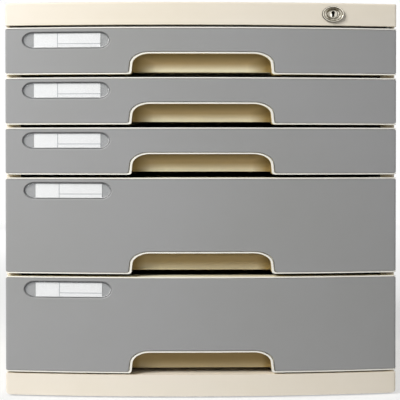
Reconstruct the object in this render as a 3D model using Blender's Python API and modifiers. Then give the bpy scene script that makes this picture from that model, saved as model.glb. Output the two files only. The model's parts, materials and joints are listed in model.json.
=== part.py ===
"""Desktop file drawer: a plastic cabinet with three shallow and two deep drawers and a central lock.

The drawer fronts bow outwards. Each is a hollow moulding with a finger-pull notch, and carries a thin face
panel with a label window. The lock turns a crank, whose pin lifts an arm; the arm lifts a bar behind the
right-hand jamb, and the bar's hooks then stand in front of a catch on each tray.

Metres, +Z up. The origin is at the centre of the footprint, on the surface that the feet stand on, and the
fronts face -Y. A drawer is modelled in its own frame, whose origin is at the bottom of its front.
"""

import math

import bmesh
import bpy
from mathutils import Matrix, Vector

# Driving dimensions of the whole cabinet.
CABINET_WIDTH = 0.300
CABINET_DEPTH = 0.345
BOW_DEPTH = 0.013
SHALLOW_FRONT_HEIGHT = 0.0364
DEEP_FRONT_HEIGHT = 0.0737
SHALLOW_DRAWER_COUNT = 3
DEEP_DRAWER_COUNT = 2
BASE_HEIGHT = 0.0163
TOP_HEIGHT = 0.0173
FRONT_THICKNESS = 0.022

# Walls, gaps and roundings that many pieces share.
WALL = 0.0025
SEAT_GAP = 0.0003
FRONT_GAP = 0.0017
TOP_GAP = 0.0013
BASE_GAP = 0.001
BOW_CORNER_RADIUS = 0.0015
REAR_CORNER_RADIUS = 0.003
OVERRUN = 0.006
JOIN_DEPTH = 0.001

# Drawer fronts: the moulded shell and its finger-pull notch.
SHELL_WALL = 0.0018
FRONT_RIM = 0.00155
NOTCH_RIM = 0.0024
NOTCH_WIDTH = 0.1073
NOTCH_HEIGHT = 0.0165
NOTCH_SLANT = math.radians(6)
NOTCH_CORNER_RADIUS = 0.008
NOTCH_LIP_RADIUS = 0.0015
CORNER_STRETCH = 1.62
FRONT_CORNER_RADIUS = 0.0008
TONGUE_OFFSET = 0.100
TONGUE_THICKNESS = 0.002
TONGUE_HEIGHT = 0.006
TONGUE_REACH = 0.0022
TONGUE_BARB = 0.0012
SHALLOW_TONGUE_SHARES = (0.5,)
DEEP_TONGUE_SHARES = (0.3, 0.72)

# Face panels, which wrap round the ends of the shells.
FACE_THICKNESS = 0.0022
FACE_END_THICKNESS = 0.0016
FACE_END_LENGTH = 0.006

# Label windows: a pill-shaped recess with a card behind a clear lens.
LABEL_WIDTH = 0.0668
LABEL_HEIGHT = 0.0123
LABEL_END_LENGTH = 0.008
LABEL_INSET = 0.0134
DEEP_LABEL_SHIFT = 0.0011
LABEL_DROP = 0.0041
LABEL_DEPTH = 0.0016
LENS_SINK = 0.0001
LENS_THICKNESS = 0.0007
CARD_WIDTH = 0.0509
CARD_SHIFT = 0.0008
CARD_HEIGHT = 0.0109
CARD_THICKNESS = 0.0003

# Trays.
TRAY_SIDE_CLEARANCE = 0.0115
TRAY_WALL = 0.002
TRAY_REAR_GAP = 0.010
TRAY_BOTTOM = 0.0026
TRAY_TOP_DROP = 0.0022
TRAY_CORNER_RADIUS = 0.004
LUG_SIZE = 0.0025
LUG_WIDTH = 0.004
LUG_INSET = 0.0403
LUG_SIDE_GAP = 0.0005

# Side panels: jambs, rear flanges and runners.
JAMB_WIDTH = 0.0108
FLANGE_WIDTH = 0.011
RUNNER_WIDTH = 0.016
RUNNER_THICKNESS = 0.002
RUNNER_SETBACK = 0.0166
RUNNER_REAR_GAP = 0.005
EAR_TOP_DROP = 0.0002
EAR_THICKNESS = 0.0016
GUIDE_RIB_THICKNESS = 0.002
GUIDE_RIB_RISE = 0.004
GUIDE_RIB_GAP = 0.0004
CLOSING_GAP = 0.0005
RIDGE_DEPTH = 0.007
RIDGE_RISE = 0.0063
RIDGE_THICKNESS = 0.002
RIDGE_FRONT_INSET = 0.0525
RIDGE_REAR_INSET = 0.0225

# Screws: four in the back panel, four up through the base.
SCREW_RADIUS = 0.00125
SCREW_HEAD_RADIUS = 0.00275
SCREW_HEAD_HEIGHT = 0.001
SCREW_LENGTH = 0.010
SCREW_SLOT_WIDTH = 0.0008
SCREW_SLOT_DEPTH = 0.0005
HOLE_CLEARANCE = 0.0003
BOSS_RADIUS = 0.0035
BOSS_LENGTH = 0.012
BOSS_INSET = 0.0068
BACK_SCREW_EDGE = 0.030
BASE_SCREW_INSET = 0.0575
BACK_BORDER = 0.012
BACK_RECESS_DEPTH = 0.0006
BACK_EDGE_RADIUS = 0.0012

# Base and feet.
FOOT_SHOW = 0.0012
FOOT_RADIUS = 0.008
FOOT_HEIGHT = 0.0042
FOOT_CHAMFER = 0.0008
FOOT_STEM_RADIUS = 0.0025
FOOT_STEM_LENGTH = 0.005
FOOT_INSET_X = 0.025
FOOT_INSET_FRONT = 0.038
FOOT_INSET_REAR = 0.022
PAD_MARGIN = 0.001
BASE_CORNER_RADIUS = 0.0035
COVER_EDGE_RADIUS = 0.0012

# Lock: the barrel in the fascia, seen face on, and its crank.
LOCK_INSET = 0.0500
BEZEL_WIDTH = 0.0172
BEZEL_HEIGHT = 0.0123
BEZEL_THICKNESS = 0.0016
BEZEL_EDGE = 0.0005
DISH_WIDTH = 0.0116
DISH_HEIGHT = 0.0079
DISH_DEPTH = 0.0005
PLUG_RADIUS = 0.0032
BARREL_WALL = 0.0008
BARREL_LENGTH = 0.014
NUT_FLATS = 0.0116
NUT_THICKNESS = 0.003
KEYWAY_WIDTH = 0.0018
KEYWAY_HEIGHT = 0.005
KEYWAY_DEPTH = 0.004
CRANK_RADIUS = 0.0048
CRANK_THICKNESS = 0.0025
CRANK_THROW = 0.0032
CRANK_REST_ANGLE = math.radians(225)
CRANK_PIN_RADIUS = 0.0013
CRANK_PIN_LENGTH = 0.0072
CRANK_SCREW_RADIUS = 0.0008
CRANK_SCREW_HEAD_RADIUS = 0.0015
CRANK_SCREW_HEAD_HEIGHT = 0.0012
CRANK_SCREW_LENGTH = 0.005

# Lock bar, its arm, hooks and the catches on the trays.
BAR_THICKNESS = 0.003
BAR_WIDTH = 0.012
BAR_TOE = 0.0015
CHANNEL_LIP_THICKNESS = 0.002
CHANNEL_LIP_REACH = 0.0042
CHANNEL_REAR_LIP_REACH = 0.0018
HOOK_LENGTH = 0.0054
HOOK_HEIGHT = 0.004
HOOK_RISE = 0.0012
HOOK_TRAY_GAP = 0.0006
HOOK_CHAMFER = 0.0012
CATCH_THICKNESS = 0.0024
CATCH_LENGTH = 0.005
CATCH_HEIGHT = 0.004
CATCH_RISE = 0.006
CATCH_GAP = 0.0008
ARM_THICKNESS = 0.002
ARM_STACK_DEPTH = 0.022
ARM_HALF_HEIGHT = 0.0032
ARM_TAB_LENGTH = 0.008
ARM_MARGIN = 0.0016
ARM_CORNER_RADIUS = 0.0022
BAR_CORNER_RADIUS = 0.002
SLOT_SIDE_CLEARANCE = 0.0005

# Facets.
BOW_STEPS = 18
CORNER_STEPS = 5
SMALL_CORNER_STEPS = 2
SMALL_CORNER_RADIUS = 0.001
ROUND_STEPS = 16
OVAL_STEPS = 28
SCREW_STEPS = 12
SMOOTH_ANGLE = math.radians(32)
ROUND_PROFILE_SHARE = 0.5
WELD_DISTANCE = SEAT_GAP / 100

# Places that follow from the dimensions.
HALF_WIDTH = CABINET_WIDTH / 2
HALF_DEPTH = CABINET_DEPTH / 2
BOW_RADIUS = (HALF_WIDTH**2 + BOW_DEPTH**2) / (2 * BOW_DEPTH)
BOW_CENTRE_Y = BOW_RADIUS - HALF_DEPTH
BOW_HALF_ANGLE = math.asin(HALF_WIDTH / BOW_RADIUS)
BOW_OVERHANG_SHARE = 1.02
END_Y = BOW_DEPTH - HALF_DEPTH
SHELL_REAR_Y = FRONT_THICKNESS - HALF_DEPTH
JAMB_FRONT_Y = SHELL_REAR_Y + CLOSING_GAP
INNER_X = HALF_WIDTH - WALL
JAMB_INNER_X = HALF_WIDTH - JAMB_WIDTH
BACK_INNER_Y = HALF_DEPTH - WALL
PANEL_REAR_Y = BACK_INNER_Y - SEAT_GAP
BASE_TOP = FOOT_SHOW + BASE_HEIGHT
PANEL_BOTTOM = BASE_TOP + SEAT_GAP
TRAY_HALF_WIDTH = INNER_X - TRAY_SIDE_CLEARANCE
TRAY_FRONT_Y = SHELL_REAR_Y + SEAT_GAP
TRAY_REAR_Y = BACK_INNER_Y - TRAY_REAR_GAP
RUNNER_FRONT_Y = JAMB_FRONT_Y + RUNNER_SETBACK
RUNNER_TOP = TRAY_BOTTOM - SEAT_GAP
BOSS_X = HALF_WIDTH - BOSS_INSET
BACK_HEAD_SEAT = SCREW_HEAD_HEIGHT - WALL - SEAT_GAP
BASE_HEAD_SEAT = -WALL - 2 * SEAT_GAP

DRAWER_HEIGHTS = SHALLOW_DRAWER_COUNT * [SHALLOW_FRONT_HEIGHT] + DEEP_DRAWER_COUNT * [DEEP_FRONT_HEIGHT]
FRONTS_BOTTOM = BASE_TOP + BASE_GAP
FRONTS_TOP = FRONTS_BOTTOM + sum(DRAWER_HEIGHTS) + FRONT_GAP * (len(DRAWER_HEIGHTS) - 1)
COVER_BOTTOM = FRONTS_TOP + TOP_GAP
COVER_TOP = COVER_BOTTOM + TOP_HEIGHT
PANEL_TOP = COVER_BOTTOM - SEAT_GAP

LOCK_X = HALF_WIDTH - LOCK_INSET
LOCK_Z = COVER_BOTTOM + TOP_HEIGHT / 2
LOCK_ANGLE = math.asin(LOCK_X / BOW_RADIUS)
BARREL_BORE = PLUG_RADIUS + HOLE_CLEARANCE
BARREL_RADIUS = BARREL_BORE + BARREL_WALL
CRANK_FRONT = BARREL_LENGTH + SEAT_GAP
CRANK_REAR = CRANK_FRONT + CRANK_THICKNESS

BAR_OUTER_X = INNER_X - SEAT_GAP
BAR_INNER_X = BAR_OUTER_X - BAR_THICKNESS
BAR_FRONT_Y = JAMB_FRONT_Y + WALL + SEAT_GAP
BAR_REAR_Y = BAR_FRONT_Y + BAR_WIDTH
LIP_OUTER_X = BAR_INNER_X - SEAT_GAP
LIP_INNER_X = LIP_OUTER_X - CHANNEL_LIP_THICKNESS
HOOK_FRONT_Y = JAMB_FRONT_Y + WALL + CHANNEL_LIP_REACH + CATCH_GAP
HOOK_REAR_Y = HOOK_FRONT_Y + HOOK_LENGTH
CATCH_FRONT_Y = HOOK_REAR_Y + CATCH_GAP


def collection_named(name):
    """A new collection in the scene."""
    made = bpy.data.collections.new(name)
    bpy.context.scene.collection.children.link(made)
    return made


def clear_scene():
    """Removes whatever the scene holds."""
    for old in list(bpy.data.objects):
        bpy.data.objects.remove(old)


def plastic(name, colour, roughness, metallic=0.0, alpha=1.0):
    """A Principled material with one colour and finish."""
    made = bpy.data.materials.new(name)
    made.use_nodes = True
    made.diffuse_color = (*colour, alpha)
    shader = made.node_tree.nodes["Principled BSDF"]
    shader.inputs["Base Color"].default_value = (*colour, 1.0)
    shader.inputs["Roughness"].default_value = roughness
    shader.inputs["Metallic"].default_value = metallic
    shader.inputs["Alpha"].default_value = alpha
    return made


def remove_shape(shape):
    """Deletes an object and the mesh or curve that it alone used."""
    data = shape.data
    bpy.data.objects.remove(shape)
    if data.users == 0 and isinstance(data, bpy.types.Mesh):
        bpy.data.meshes.remove(data)
    elif data.users == 0:
        bpy.data.curves.remove(data)


def add_shape(name, data, matrix=None):
    """A working object that no render shows, until finish() makes it a part."""
    shape = bpy.data.objects.new(name, data)
    shape.hide_render = True
    shape.display_type = "WIRE"
    cutters.objects.link(shape)
    if matrix:
        shape.matrix_world = matrix
    bpy.context.view_layer.update()
    return shape


def evaluated_mesh(shape):
    """The mesh of an object with its modifiers or its curve's thickness."""
    graph = bpy.context.evaluated_depsgraph_get()
    return bpy.data.meshes.new_from_object(shape.evaluated_get(graph))


def tidy_mesh(mesh):
    """Welds coincident points and turns every face outwards."""
    work = bmesh.new()
    work.from_mesh(mesh)
    bmesh.ops.remove_doubles(work, verts=work.verts, dist=WELD_DISTANCE)
    bmesh.ops.recalc_face_normals(work, faces=work.faces)
    work.to_mesh(mesh)
    work.free()


def combine(shape, tool, operation):
    """Applies one Boolean to the shape and deletes the tool."""
    modifier = shape.modifiers.new(operation.lower(), "BOOLEAN")
    modifier.operation = operation
    modifier.solver = "EXACT"
    modifier.object = tool
    bpy.context.view_layer.update()
    old = shape.data
    new = evaluated_mesh(shape)
    shape.modifiers.clear()
    shape.data = new
    bpy.data.meshes.remove(old)
    remove_shape(tool)
    return shape


def cut(shape, *tools):
    for tool in tools:
        combine(shape, tool, "DIFFERENCE")
    return shape


def join(shape, *tools):
    for tool in tools:
        combine(shape, tool, "UNION")
    return shape


def meet(shape, *tools):
    for tool in tools:
        combine(shape, tool, "INTERSECT")
    return shape


def box(low, high, matrix=None):
    """A cube primitive stretched between two corners."""
    low, high = (Vector(corner) for corner in (low, high))
    mesh = bpy.data.meshes.new("box")
    work = bmesh.new()
    size = [abs(span) for span in high - low]
    place = Matrix.Translation((low + high) / 2) @ Matrix.Diagonal((*size, 1))
    bmesh.ops.create_cube(work, size=1, matrix=place)
    work.to_mesh(mesh)
    work.free()
    return add_shape("box", mesh, matrix)


def cylinder(radius, low, high, steps=ROUND_STEPS, matrix=None):
    """A cylinder along the local Z axis from low to high."""
    mesh = bpy.data.meshes.new("cylinder")
    work = bmesh.new()
    middle = Matrix.Translation((0, 0, (low + high) / 2))
    sizes = {"radius1": radius, "radius2": radius, "depth": high - low}
    bmesh.ops.create_cone(work, cap_ends=True, segments=steps, matrix=middle, **sizes)
    work.to_mesh(mesh)
    work.free()
    return add_shape("cylinder", mesh, matrix)


def turned(profile, steps=ROUND_STEPS, matrix=None):
    """A profile of (radius, height) points, outer side downwards, swept round the local Z axis."""
    mesh = bpy.data.meshes.new("turned")
    points = [(radius, 0, height) for radius, height in profile]
    mesh.from_pydata(points, [(i, i + 1) for i in range(len(points) - 1)], [])
    shape = add_shape("turned", mesh, matrix)
    screw = shape.modifiers.new("turn", "SCREW")
    screw.steps = screw.render_steps = steps
    screw.use_merge_vertices = True
    screw.merge_threshold = WELD_DISTANCE
    bpy.context.view_layer.update()
    new = evaluated_mesh(shape)
    shape.modifiers.clear()
    shape.data = new
    bpy.data.meshes.remove(mesh)
    tidy_mesh(new)
    return shape


AXIS_MATRICES = {
    "X": Matrix(((0, 0, 1, 0), (1, 0, 0, 0), (0, 1, 0, 0), (0, 0, 0, 1))),
    "Y": Matrix(((1, 0, 0, 0), (0, 0, -1, 0), (0, 1, 0, 0), (0, 0, 0, 1))),
    "Z": Matrix.Identity(4),
}


def prism(outlines, low, high, axis):
    """Flat outlines, the first one filled and any others holes in it, extruded along an axis.

    An outline's points are (y, z) for a prism along X, (x, z) along Y and (x, y) along Z.
    """
    curve = bpy.data.curves.new("outline", "CURVE")
    curve.dimensions = "2D"
    curve.fill_mode = "BOTH"
    curve.extrude = (high - low) / 2
    for outline in outlines:
        spline = curve.splines.new("POLY")
        spline.points.add(len(outline) - 1)
        for point, place in zip(spline.points, outline):
            point.co = (*place, 0, 1)
        spline.use_cyclic_u = True
    middle = Vector.Fill(3, 0)
    middle["XYZ".index(axis)] = (low + high) / 2
    drawn = add_shape("outline", curve, Matrix.Translation(middle) @ AXIS_MATRICES[axis])
    mesh = evaluated_mesh(drawn)
    tidy_mesh(mesh)
    shape = add_shape("prism", mesh, drawn.matrix_world.copy())
    remove_shape(drawn)
    return shape


def round_upper_rim(shape, radius):
    """Rounds the edge all round the upper end of a prism along Z, whose mesh lies about its middle."""
    work = bmesh.new()
    work.from_mesh(shape.data)
    rim = [e for e in work.edges if e.is_manifold and all(v.co.z > 0 for v in e.verts)]
    rim = [e for e in rim if e.calc_face_angle(0) > SMOOTH_ANGLE]
    form = {"segments": SMALL_CORNER_STEPS, "profile": ROUND_PROFILE_SHARE, "affect": "EDGES"}
    bmesh.ops.bevel(work, geom=rim, offset=radius, **form)
    work.to_mesh(shape.data)
    work.free()


def rounded(corners, steps=CORNER_STEPS):
    """A closed outline of (x, y, radius) corners, each with its arc."""
    outline = []
    for i, (x, y, radius) in enumerate(corners):
        here = Vector((x, y))
        if not radius:
            outline.append((x, y))
            continue
        before = (Vector(corners[i - 1][:2]) - here).normalized()
        after = (Vector(corners[(i + 1) % len(corners)][:2]) - here).normalized()
        half = before.angle(after) / 2
        centre = here + (before + after).normalized() * (radius / math.sin(half))
        start = here + before * (radius / math.tan(half)) - centre
        end = here + after * (radius / math.tan(half)) - centre
        turn = start.angle_signed(end)
        count = steps if radius > SMALL_CORNER_RADIUS else SMALL_CORNER_STEPS
        for step in range(count + 1):
            outline.append((centre + Matrix.Rotation(-turn * step / count, 2) @ start)[:])
    return outline


def ellipse(width, height, steps):
    turns = [2 * math.pi * i / steps for i in range(steps)]
    return [(width / 2 * math.cos(turn), height / 2 * math.sin(turn)) for turn in turns]


def rectangle(low_x, low_y, high_x, high_y):
    return [(low_x, low_y), (high_x, low_y), (high_x, high_y), (low_x, high_y)]


def bow_line(inset):
    """Plan points of the bowed surface, moved inwards by inset.

    Every such line has its points at the same angles, so any two of them are parallel.
    """
    radius = BOW_RADIUS - inset
    reach = BOW_HALF_ANGLE * BOW_OVERHANG_SHARE
    angles = [reach * (2 * i / BOW_STEPS - 1) for i in range(BOW_STEPS + 1)]
    return [(radius * math.sin(a), BOW_CENTRE_Y - radius * math.cos(a)) for a in angles]


def bow_y(x, inset):
    """The y of the bowed line at x."""
    line = bow_line(inset)
    for (x0, y0), (x1, y1) in zip(line, line[1:]):
        if x0 <= x <= x1:
            return y0 + (y1 - y0) * (x - x0) / (x1 - x0)
    return line[0][1] if x < 0 else line[-1][1]


def bowed_plan(inset, side_inset, rear_y, corner=0.0, rear_corner=0.0):
    """Plan outline with the bowed line in front and a straight back."""
    half = HALF_WIDTH - side_inset
    middle = [(x, y, 0) for x, y in bow_line(inset) if abs(x) < half - corner * 2]
    end_y = bow_y(half, inset)
    corners = [(-half, end_y, corner), *middle, (half, end_y, corner)]
    corners += [(half, rear_y, rear_corner), (-half, rear_y, rear_corner)]
    return rounded(corners, SMALL_CORNER_STEPS)


def bow_band(outer_inset, inner_inset, low, high):
    """The layer between two depths under the bowed surface."""
    outline = bow_line(outer_inset) + bow_line(inner_inset)[::-1]
    return prism([outline], low, high, "Z")


def front_elevation(height, inset, notch_inset, side_inset=0.0):
    """A drawer front seen face on, moved inwards by inset, and by notch_inset beside the notch.

    Its roundings are wider than they are high, by the stretch.
    """
    half = HALF_WIDTH - side_inset
    low, high = inset, height - inset
    roof = NOTCH_HEIGHT + inset
    foot = NOTCH_WIDTH / 2 + notch_inset - low * math.tan(NOTCH_SLANT)
    neck = NOTCH_WIDTH / 2 + notch_inset - roof * math.tan(NOTCH_SLANT)
    shoulder = NOTCH_CORNER_RADIUS + inset
    edge = FRONT_CORNER_RADIUS
    corners = [(-half, low, edge), (-foot, low, NOTCH_LIP_RADIUS), (-neck, roof, shoulder)]
    corners += [(neck, roof, shoulder), (foot, low, NOTCH_LIP_RADIUS), (half, low, edge)]
    corners += [(half, high, edge), (-half, high, edge)]
    outline = rounded([(x / CORNER_STRETCH, z, radius) for x, z, radius in corners])
    return [(x * CORNER_STRETCH, z) for x, z in outline]


def pill(width, height, end_length, centre_x, centre_z):
    """An outline with straight sides and half-ellipse ends."""
    half = width / 2 - end_length
    outline = []
    for side in (1, -1):
        for step in range(2 * CORNER_STEPS + 1):
            turn = math.pi * (step / (2 * CORNER_STEPS) - 1 / 2)
            x = side * (half + end_length * math.cos(turn))
            outline.append((centre_x + x, centre_z + side * height / 2 * math.sin(turn)))
    return outline


def finish(shape, name, material, parent=None):
    """Makes a working shape a part: named, coloured, smooth where it is round, and among the parts."""
    shape.name = name
    shape.data.name = name
    shape.hide_render = False
    shape.display_type = "TEXTURED"
    cutters.objects.unlink(shape)
    parts.objects.link(shape)
    shape.data.materials.clear()
    shape.data.materials.append(material)
    shape.data.shade_smooth()
    shape.data.set_sharp_from_angle(angle=SMOOTH_ANGLE)
    if parent:
        shape.matrix_world = parent.matrix_world @ shape.matrix_world
        place = shape.matrix_world.copy()
        shape.parent = parent
        shape.matrix_world = place
    return shape


def copy_part(original, name, parent):
    """Another object with the same mesh, at the same place under its own parent."""
    made = bpy.data.objects.new(name, original.data)
    parts.objects.link(made)
    made.parent = parent
    made.matrix_parent_inverse = original.matrix_parent_inverse
    made.matrix_basis = original.matrix_basis
    return made


def axis_empty(name, matrix):
    """An empty that stands on a joint's axis."""
    made = bpy.data.objects.new(name, None)
    parts.objects.link(made)
    made.matrix_world = matrix
    bpy.context.view_layer.update()
    return made


def front_shell(height, tongue_shares):
    """The hollow front: an elevation with its notch, met by the bowed plan, then emptied from behind."""
    low, high = -OVERRUN, height + OVERRUN
    front_y, rear_y = -HALF_DEPTH - OVERRUN, SHELL_REAR_Y + OVERRUN
    shell = prism([front_elevation(height, 0, 0)], front_y, rear_y, "Y")
    shell = meet(shell, prism([bowed_plan(0, 0, SHELL_REAR_Y, BOW_CORNER_RADIUS)], low, high, "Z"))
    floor_inset = FACE_THICKNESS + SEAT_GAP
    side_inset = FACE_END_THICKNESS + SEAT_GAP
    core = prism([bowed_plan(floor_inset, side_inset, rear_y)], low, high, "Z")
    rim = FRONT_RIM - SEAT_GAP
    pocket_rear_y = END_Y + FACE_END_LENGTH + SEAT_GAP
    outline = front_elevation(height, rim, NOTCH_RIM - SEAT_GAP, -OVERRUN)
    pocket = cut(prism([outline], front_y, pocket_rear_y, "Y"), core)
    cut(shell, pocket)
    hollow_plan = bowed_plan(floor_inset + SHELL_WALL, side_inset + SHELL_WALL, rear_y)
    hollow_sides = side_inset + SHELL_WALL
    hollow = prism([front_elevation(height, SHELL_WALL, SHELL_WALL, hollow_sides)], front_y, rear_y, "Y")
    meet(hollow, prism([hollow_plan], low, high, "Z"))
    cut(shell, hollow)
    for side in (-1, 1):
        for share in tongue_shares:
            join(shell, tongue(side * TONGUE_OFFSET, height, height * share))
    return shell


def tongue(x, height, middle):
    """A rib inside the shell that ends in a barbed tongue through the tray's front wall."""
    start = bow_y(x, FACE_THICKNESS + SEAT_GAP + SHELL_WALL / 2)
    low, high = SHELL_WALL / 2, height - SHELL_WALL / 2
    bottom, top = middle - TONGUE_HEIGHT / 2, middle + TONGUE_HEIGHT / 2
    catch_y = TRAY_FRONT_Y + TRAY_WALL + SEAT_GAP
    end = catch_y + TONGUE_REACH
    outline = [(start, low), (SHELL_REAR_Y, low), (SHELL_REAR_Y, bottom), (end, bottom), (end, top)]
    outline += [(catch_y, top + TONGUE_BARB), (catch_y, top), (SHELL_REAR_Y, top), (SHELL_REAR_Y, high)]
    outline += [(start, high)]
    return prism([outline], x - TONGUE_THICKNESS / 2, x + TONGUE_THICKNESS / 2, "X")


def label_centre(height, shift):
    middle = -HALF_WIDTH + LABEL_INSET + LABEL_WIDTH / 2 + shift
    return middle, height - LABEL_DROP - LABEL_HEIGHT / 2


def face_panel(height, shift):
    """The face: the front's elevation inside its rims, met by the bowed plan, with its label recess."""
    low, high = -OVERRUN, height + OVERRUN
    front_y = -HALF_DEPTH - OVERRUN
    rear_y = END_Y + FACE_END_LENGTH
    face = prism([front_elevation(height, FRONT_RIM, NOTCH_RIM)], front_y, rear_y, "Y")
    meet(face, prism([bowed_plan(0, 0, rear_y + OVERRUN, BOW_CORNER_RADIUS)], low, high, "Z"))
    cut(face, prism([bowed_plan(FACE_THICKNESS, FACE_END_THICKNESS, rear_y + OVERRUN)], low, high, "Z"))
    recess = pill(LABEL_WIDTH, LABEL_HEIGHT, LABEL_END_LENGTH, *label_centre(height, shift))
    window = prism([recess], front_y, rear_y, "Y")
    return cut(face, meet(window, bow_band(-OVERRUN, LABEL_DEPTH, low, high)))


def label_layer(outline, outer_inset, thickness, height):
    """A thin piece that follows the bow, such as the lens or the card."""
    layer = prism([outline], -HALF_DEPTH - OVERRUN, SHELL_REAR_Y, "Y")
    return meet(layer, bow_band(outer_inset, outer_inset + thickness, -OVERRUN, height + OVERRUN))


def label_lens(height, shift):
    width, tall = LABEL_WIDTH - 2 * SEAT_GAP, LABEL_HEIGHT - 2 * SEAT_GAP
    outline = pill(width, tall, LABEL_END_LENGTH - SEAT_GAP, *label_centre(height, shift))
    return label_layer(outline, LENS_SINK, LENS_THICKNESS, height)


def label_card(height, shift):
    x, z = label_centre(height, shift)
    half, tall = CARD_WIDTH / 2, CARD_HEIGHT / 2
    left, right = x + CARD_SHIFT - half, x + CARD_SHIFT + half
    outline = rectangle(left, z - tall, right, z + tall)
    seat = LABEL_DEPTH - SEAT_GAP - CARD_THICKNESS
    return label_layer(outline, seat, CARD_THICKNESS, height)


def tray(height, tongue_shares):
    """An open tray with two stop lugs under it."""
    top = height - TRAY_TOP_DROP
    inner = TRAY_CORNER_RADIUS - TRAY_WALL
    outline = rounded(tray_corners(0, TRAY_CORNER_RADIUS), SMALL_CORNER_STEPS)
    made = prism([outline], TRAY_BOTTOM, top, "Z")
    outline = rounded(tray_corners(TRAY_WALL, inner), SMALL_CORNER_STEPS)
    cut(made, prism([outline], TRAY_BOTTOM + TRAY_WALL, top + OVERRUN, "Z"))
    lug_y = TRAY_REAR_Y - LUG_INSET
    lug_outer = HALF_WIDTH - WALL - RUNNER_WIDTH - LUG_SIDE_GAP
    for side in (-1, 1):
        low = (side * (lug_outer - LUG_WIDTH), lug_y, TRAY_BOTTOM - LUG_SIZE + SEAT_GAP)
        join(made, box(low, (side * lug_outer, lug_y + LUG_SIZE, TRAY_BOTTOM + JOIN_DEPTH)))
        for share in tongue_shares:
            cut(made, tongue_slot(side * TONGUE_OFFSET, height * share))
    return made


def tray_corners(inset, radius):
    half = TRAY_HALF_WIDTH - inset
    front, rear = TRAY_FRONT_Y + inset, TRAY_REAR_Y - inset
    return [(-half, front, 0), (half, front, 0), (half, rear, radius), (-half, rear, radius)]


def tongue_slot(x, middle):
    """The slot in the tray's front wall, high enough for the barb to pass."""
    half = TONGUE_THICKNESS / 2 + SEAT_GAP
    low = (x - half, TRAY_FRONT_Y - OVERRUN, middle - TONGUE_HEIGHT / 2 - SEAT_GAP)
    top = middle + TONGUE_HEIGHT / 2 + SEAT_GAP
    return box(low, (x + half, TRAY_FRONT_Y + TRAY_WALL + JOIN_DEPTH, top))


def catch():
    """The block on the tray's right side that the lock's hook stops."""
    inner = TRAY_HALF_WIDTH + SEAT_GAP
    low = TRAY_BOTTOM + CATCH_RISE
    far = (inner + CATCH_THICKNESS, CATCH_FRONT_Y + CATCH_LENGTH, low + CATCH_HEIGHT)
    return box((inner, CATCH_FRONT_Y, low), far)


def jamb_plan(side, with_channel):
    """Plan of a side panel: jamb, outer wall and rear flange, and on the lock's side the bar's channel."""
    flange_x = HALF_WIDTH - FLANGE_WIDTH
    jamb_rear_y = JAMB_FRONT_Y + WALL
    outline = [(HALF_WIDTH, JAMB_FRONT_Y), (HALF_WIDTH, PANEL_REAR_Y), (flange_x, PANEL_REAR_Y)]
    outline += [(flange_x, PANEL_REAR_Y - WALL), (INNER_X, PANEL_REAR_Y - WALL)]
    if with_channel:
        rib_front_y = BAR_REAR_Y + SEAT_GAP
        rib_rear_y = rib_front_y + CHANNEL_LIP_THICKNESS
        mouth_rear_y = rib_front_y - CHANNEL_REAR_LIP_REACH
        mouth_front_y = jamb_rear_y + CHANNEL_LIP_REACH
        outline += [(INNER_X, rib_rear_y), (LIP_INNER_X, rib_rear_y), (LIP_INNER_X, mouth_rear_y)]
        outline += [(LIP_OUTER_X, mouth_rear_y), (LIP_OUTER_X, rib_front_y), (INNER_X, rib_front_y)]
        outline += [(INNER_X, jamb_rear_y), (LIP_OUTER_X, jamb_rear_y), (LIP_OUTER_X, mouth_front_y)]
        outline += [(LIP_INNER_X, mouth_front_y), (LIP_INNER_X, jamb_rear_y)]
    else:
        outline += [(INNER_X, jamb_rear_y)]
    outline += [(JAMB_INNER_X, jamb_rear_y), (JAMB_INNER_X, JAMB_FRONT_Y)]
    return [(side * x, y) for x, y in outline]


def runner_section(side, front_bottom):
    """Section of a runner: a shelf under the tray with an upright rib beside it."""
    shelf_x = INNER_X - RUNNER_WIDTH
    rib_inner = TRAY_HALF_WIDTH + GUIDE_RIB_GAP
    rib_outer = rib_inner + GUIDE_RIB_THICKNESS
    low, top = RUNNER_TOP - RUNNER_THICKNESS, RUNNER_TOP
    rib_top = TRAY_BOTTOM + GUIDE_RIB_RISE
    root = INNER_X + JOIN_DEPTH
    outline = [(root, low), (shelf_x, low), (shelf_x, top), (rib_inner, top), (rib_inner, rib_top)]
    outline += [(rib_outer, rib_top), (rib_outer, top), (root, top)]
    return [(side * x, front_bottom + z) for x, z in outline]


def runner_ear(side, front_bottom):
    """The ear on a runner's front end that the tray's stop lug meets."""
    outer = INNER_X - RUNNER_WIDTH + JOIN_DEPTH
    inner = INNER_X - RUNNER_WIDTH - LUG_WIDTH - LUG_SIDE_GAP
    high = front_bottom + RUNNER_TOP - EAR_TOP_DROP
    front = RUNNER_FRONT_Y + SEAT_GAP
    return box((side * inner, front, high - EAR_THICKNESS), (side * outer, front + LUG_SIZE, high))


def front_bottoms():
    """The height of each front's bottom edge, from the top drawer down."""
    bottoms = []
    top = FRONTS_TOP
    for height in DRAWER_HEIGHTS:
        bottoms.append(top - height)
        top -= height + FRONT_GAP
    return bottoms


def back_screw_frames(side):
    """Frames at the mouths of the rear bosses, with local +Z the way a screw goes in."""
    heights = (PANEL_BOTTOM + BACK_SCREW_EDGE, PANEL_TOP - BACK_SCREW_EDGE)
    places = [(side * BOSS_X, PANEL_REAR_Y, height) for height in heights]
    return [Matrix.Translation(place) @ AXIS_MATRICES["Y"] for place in places]


def base_screw_frames(side):
    """Frames at the mouths of the lower bosses, with local +Z the way a screw goes in."""
    reach = HALF_DEPTH - BASE_SCREW_INSET
    places = [(side * BOSS_X, y, PANEL_BOTTOM) for y in (-reach, reach)]
    return [Matrix.Translation(place) for place in places]


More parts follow.
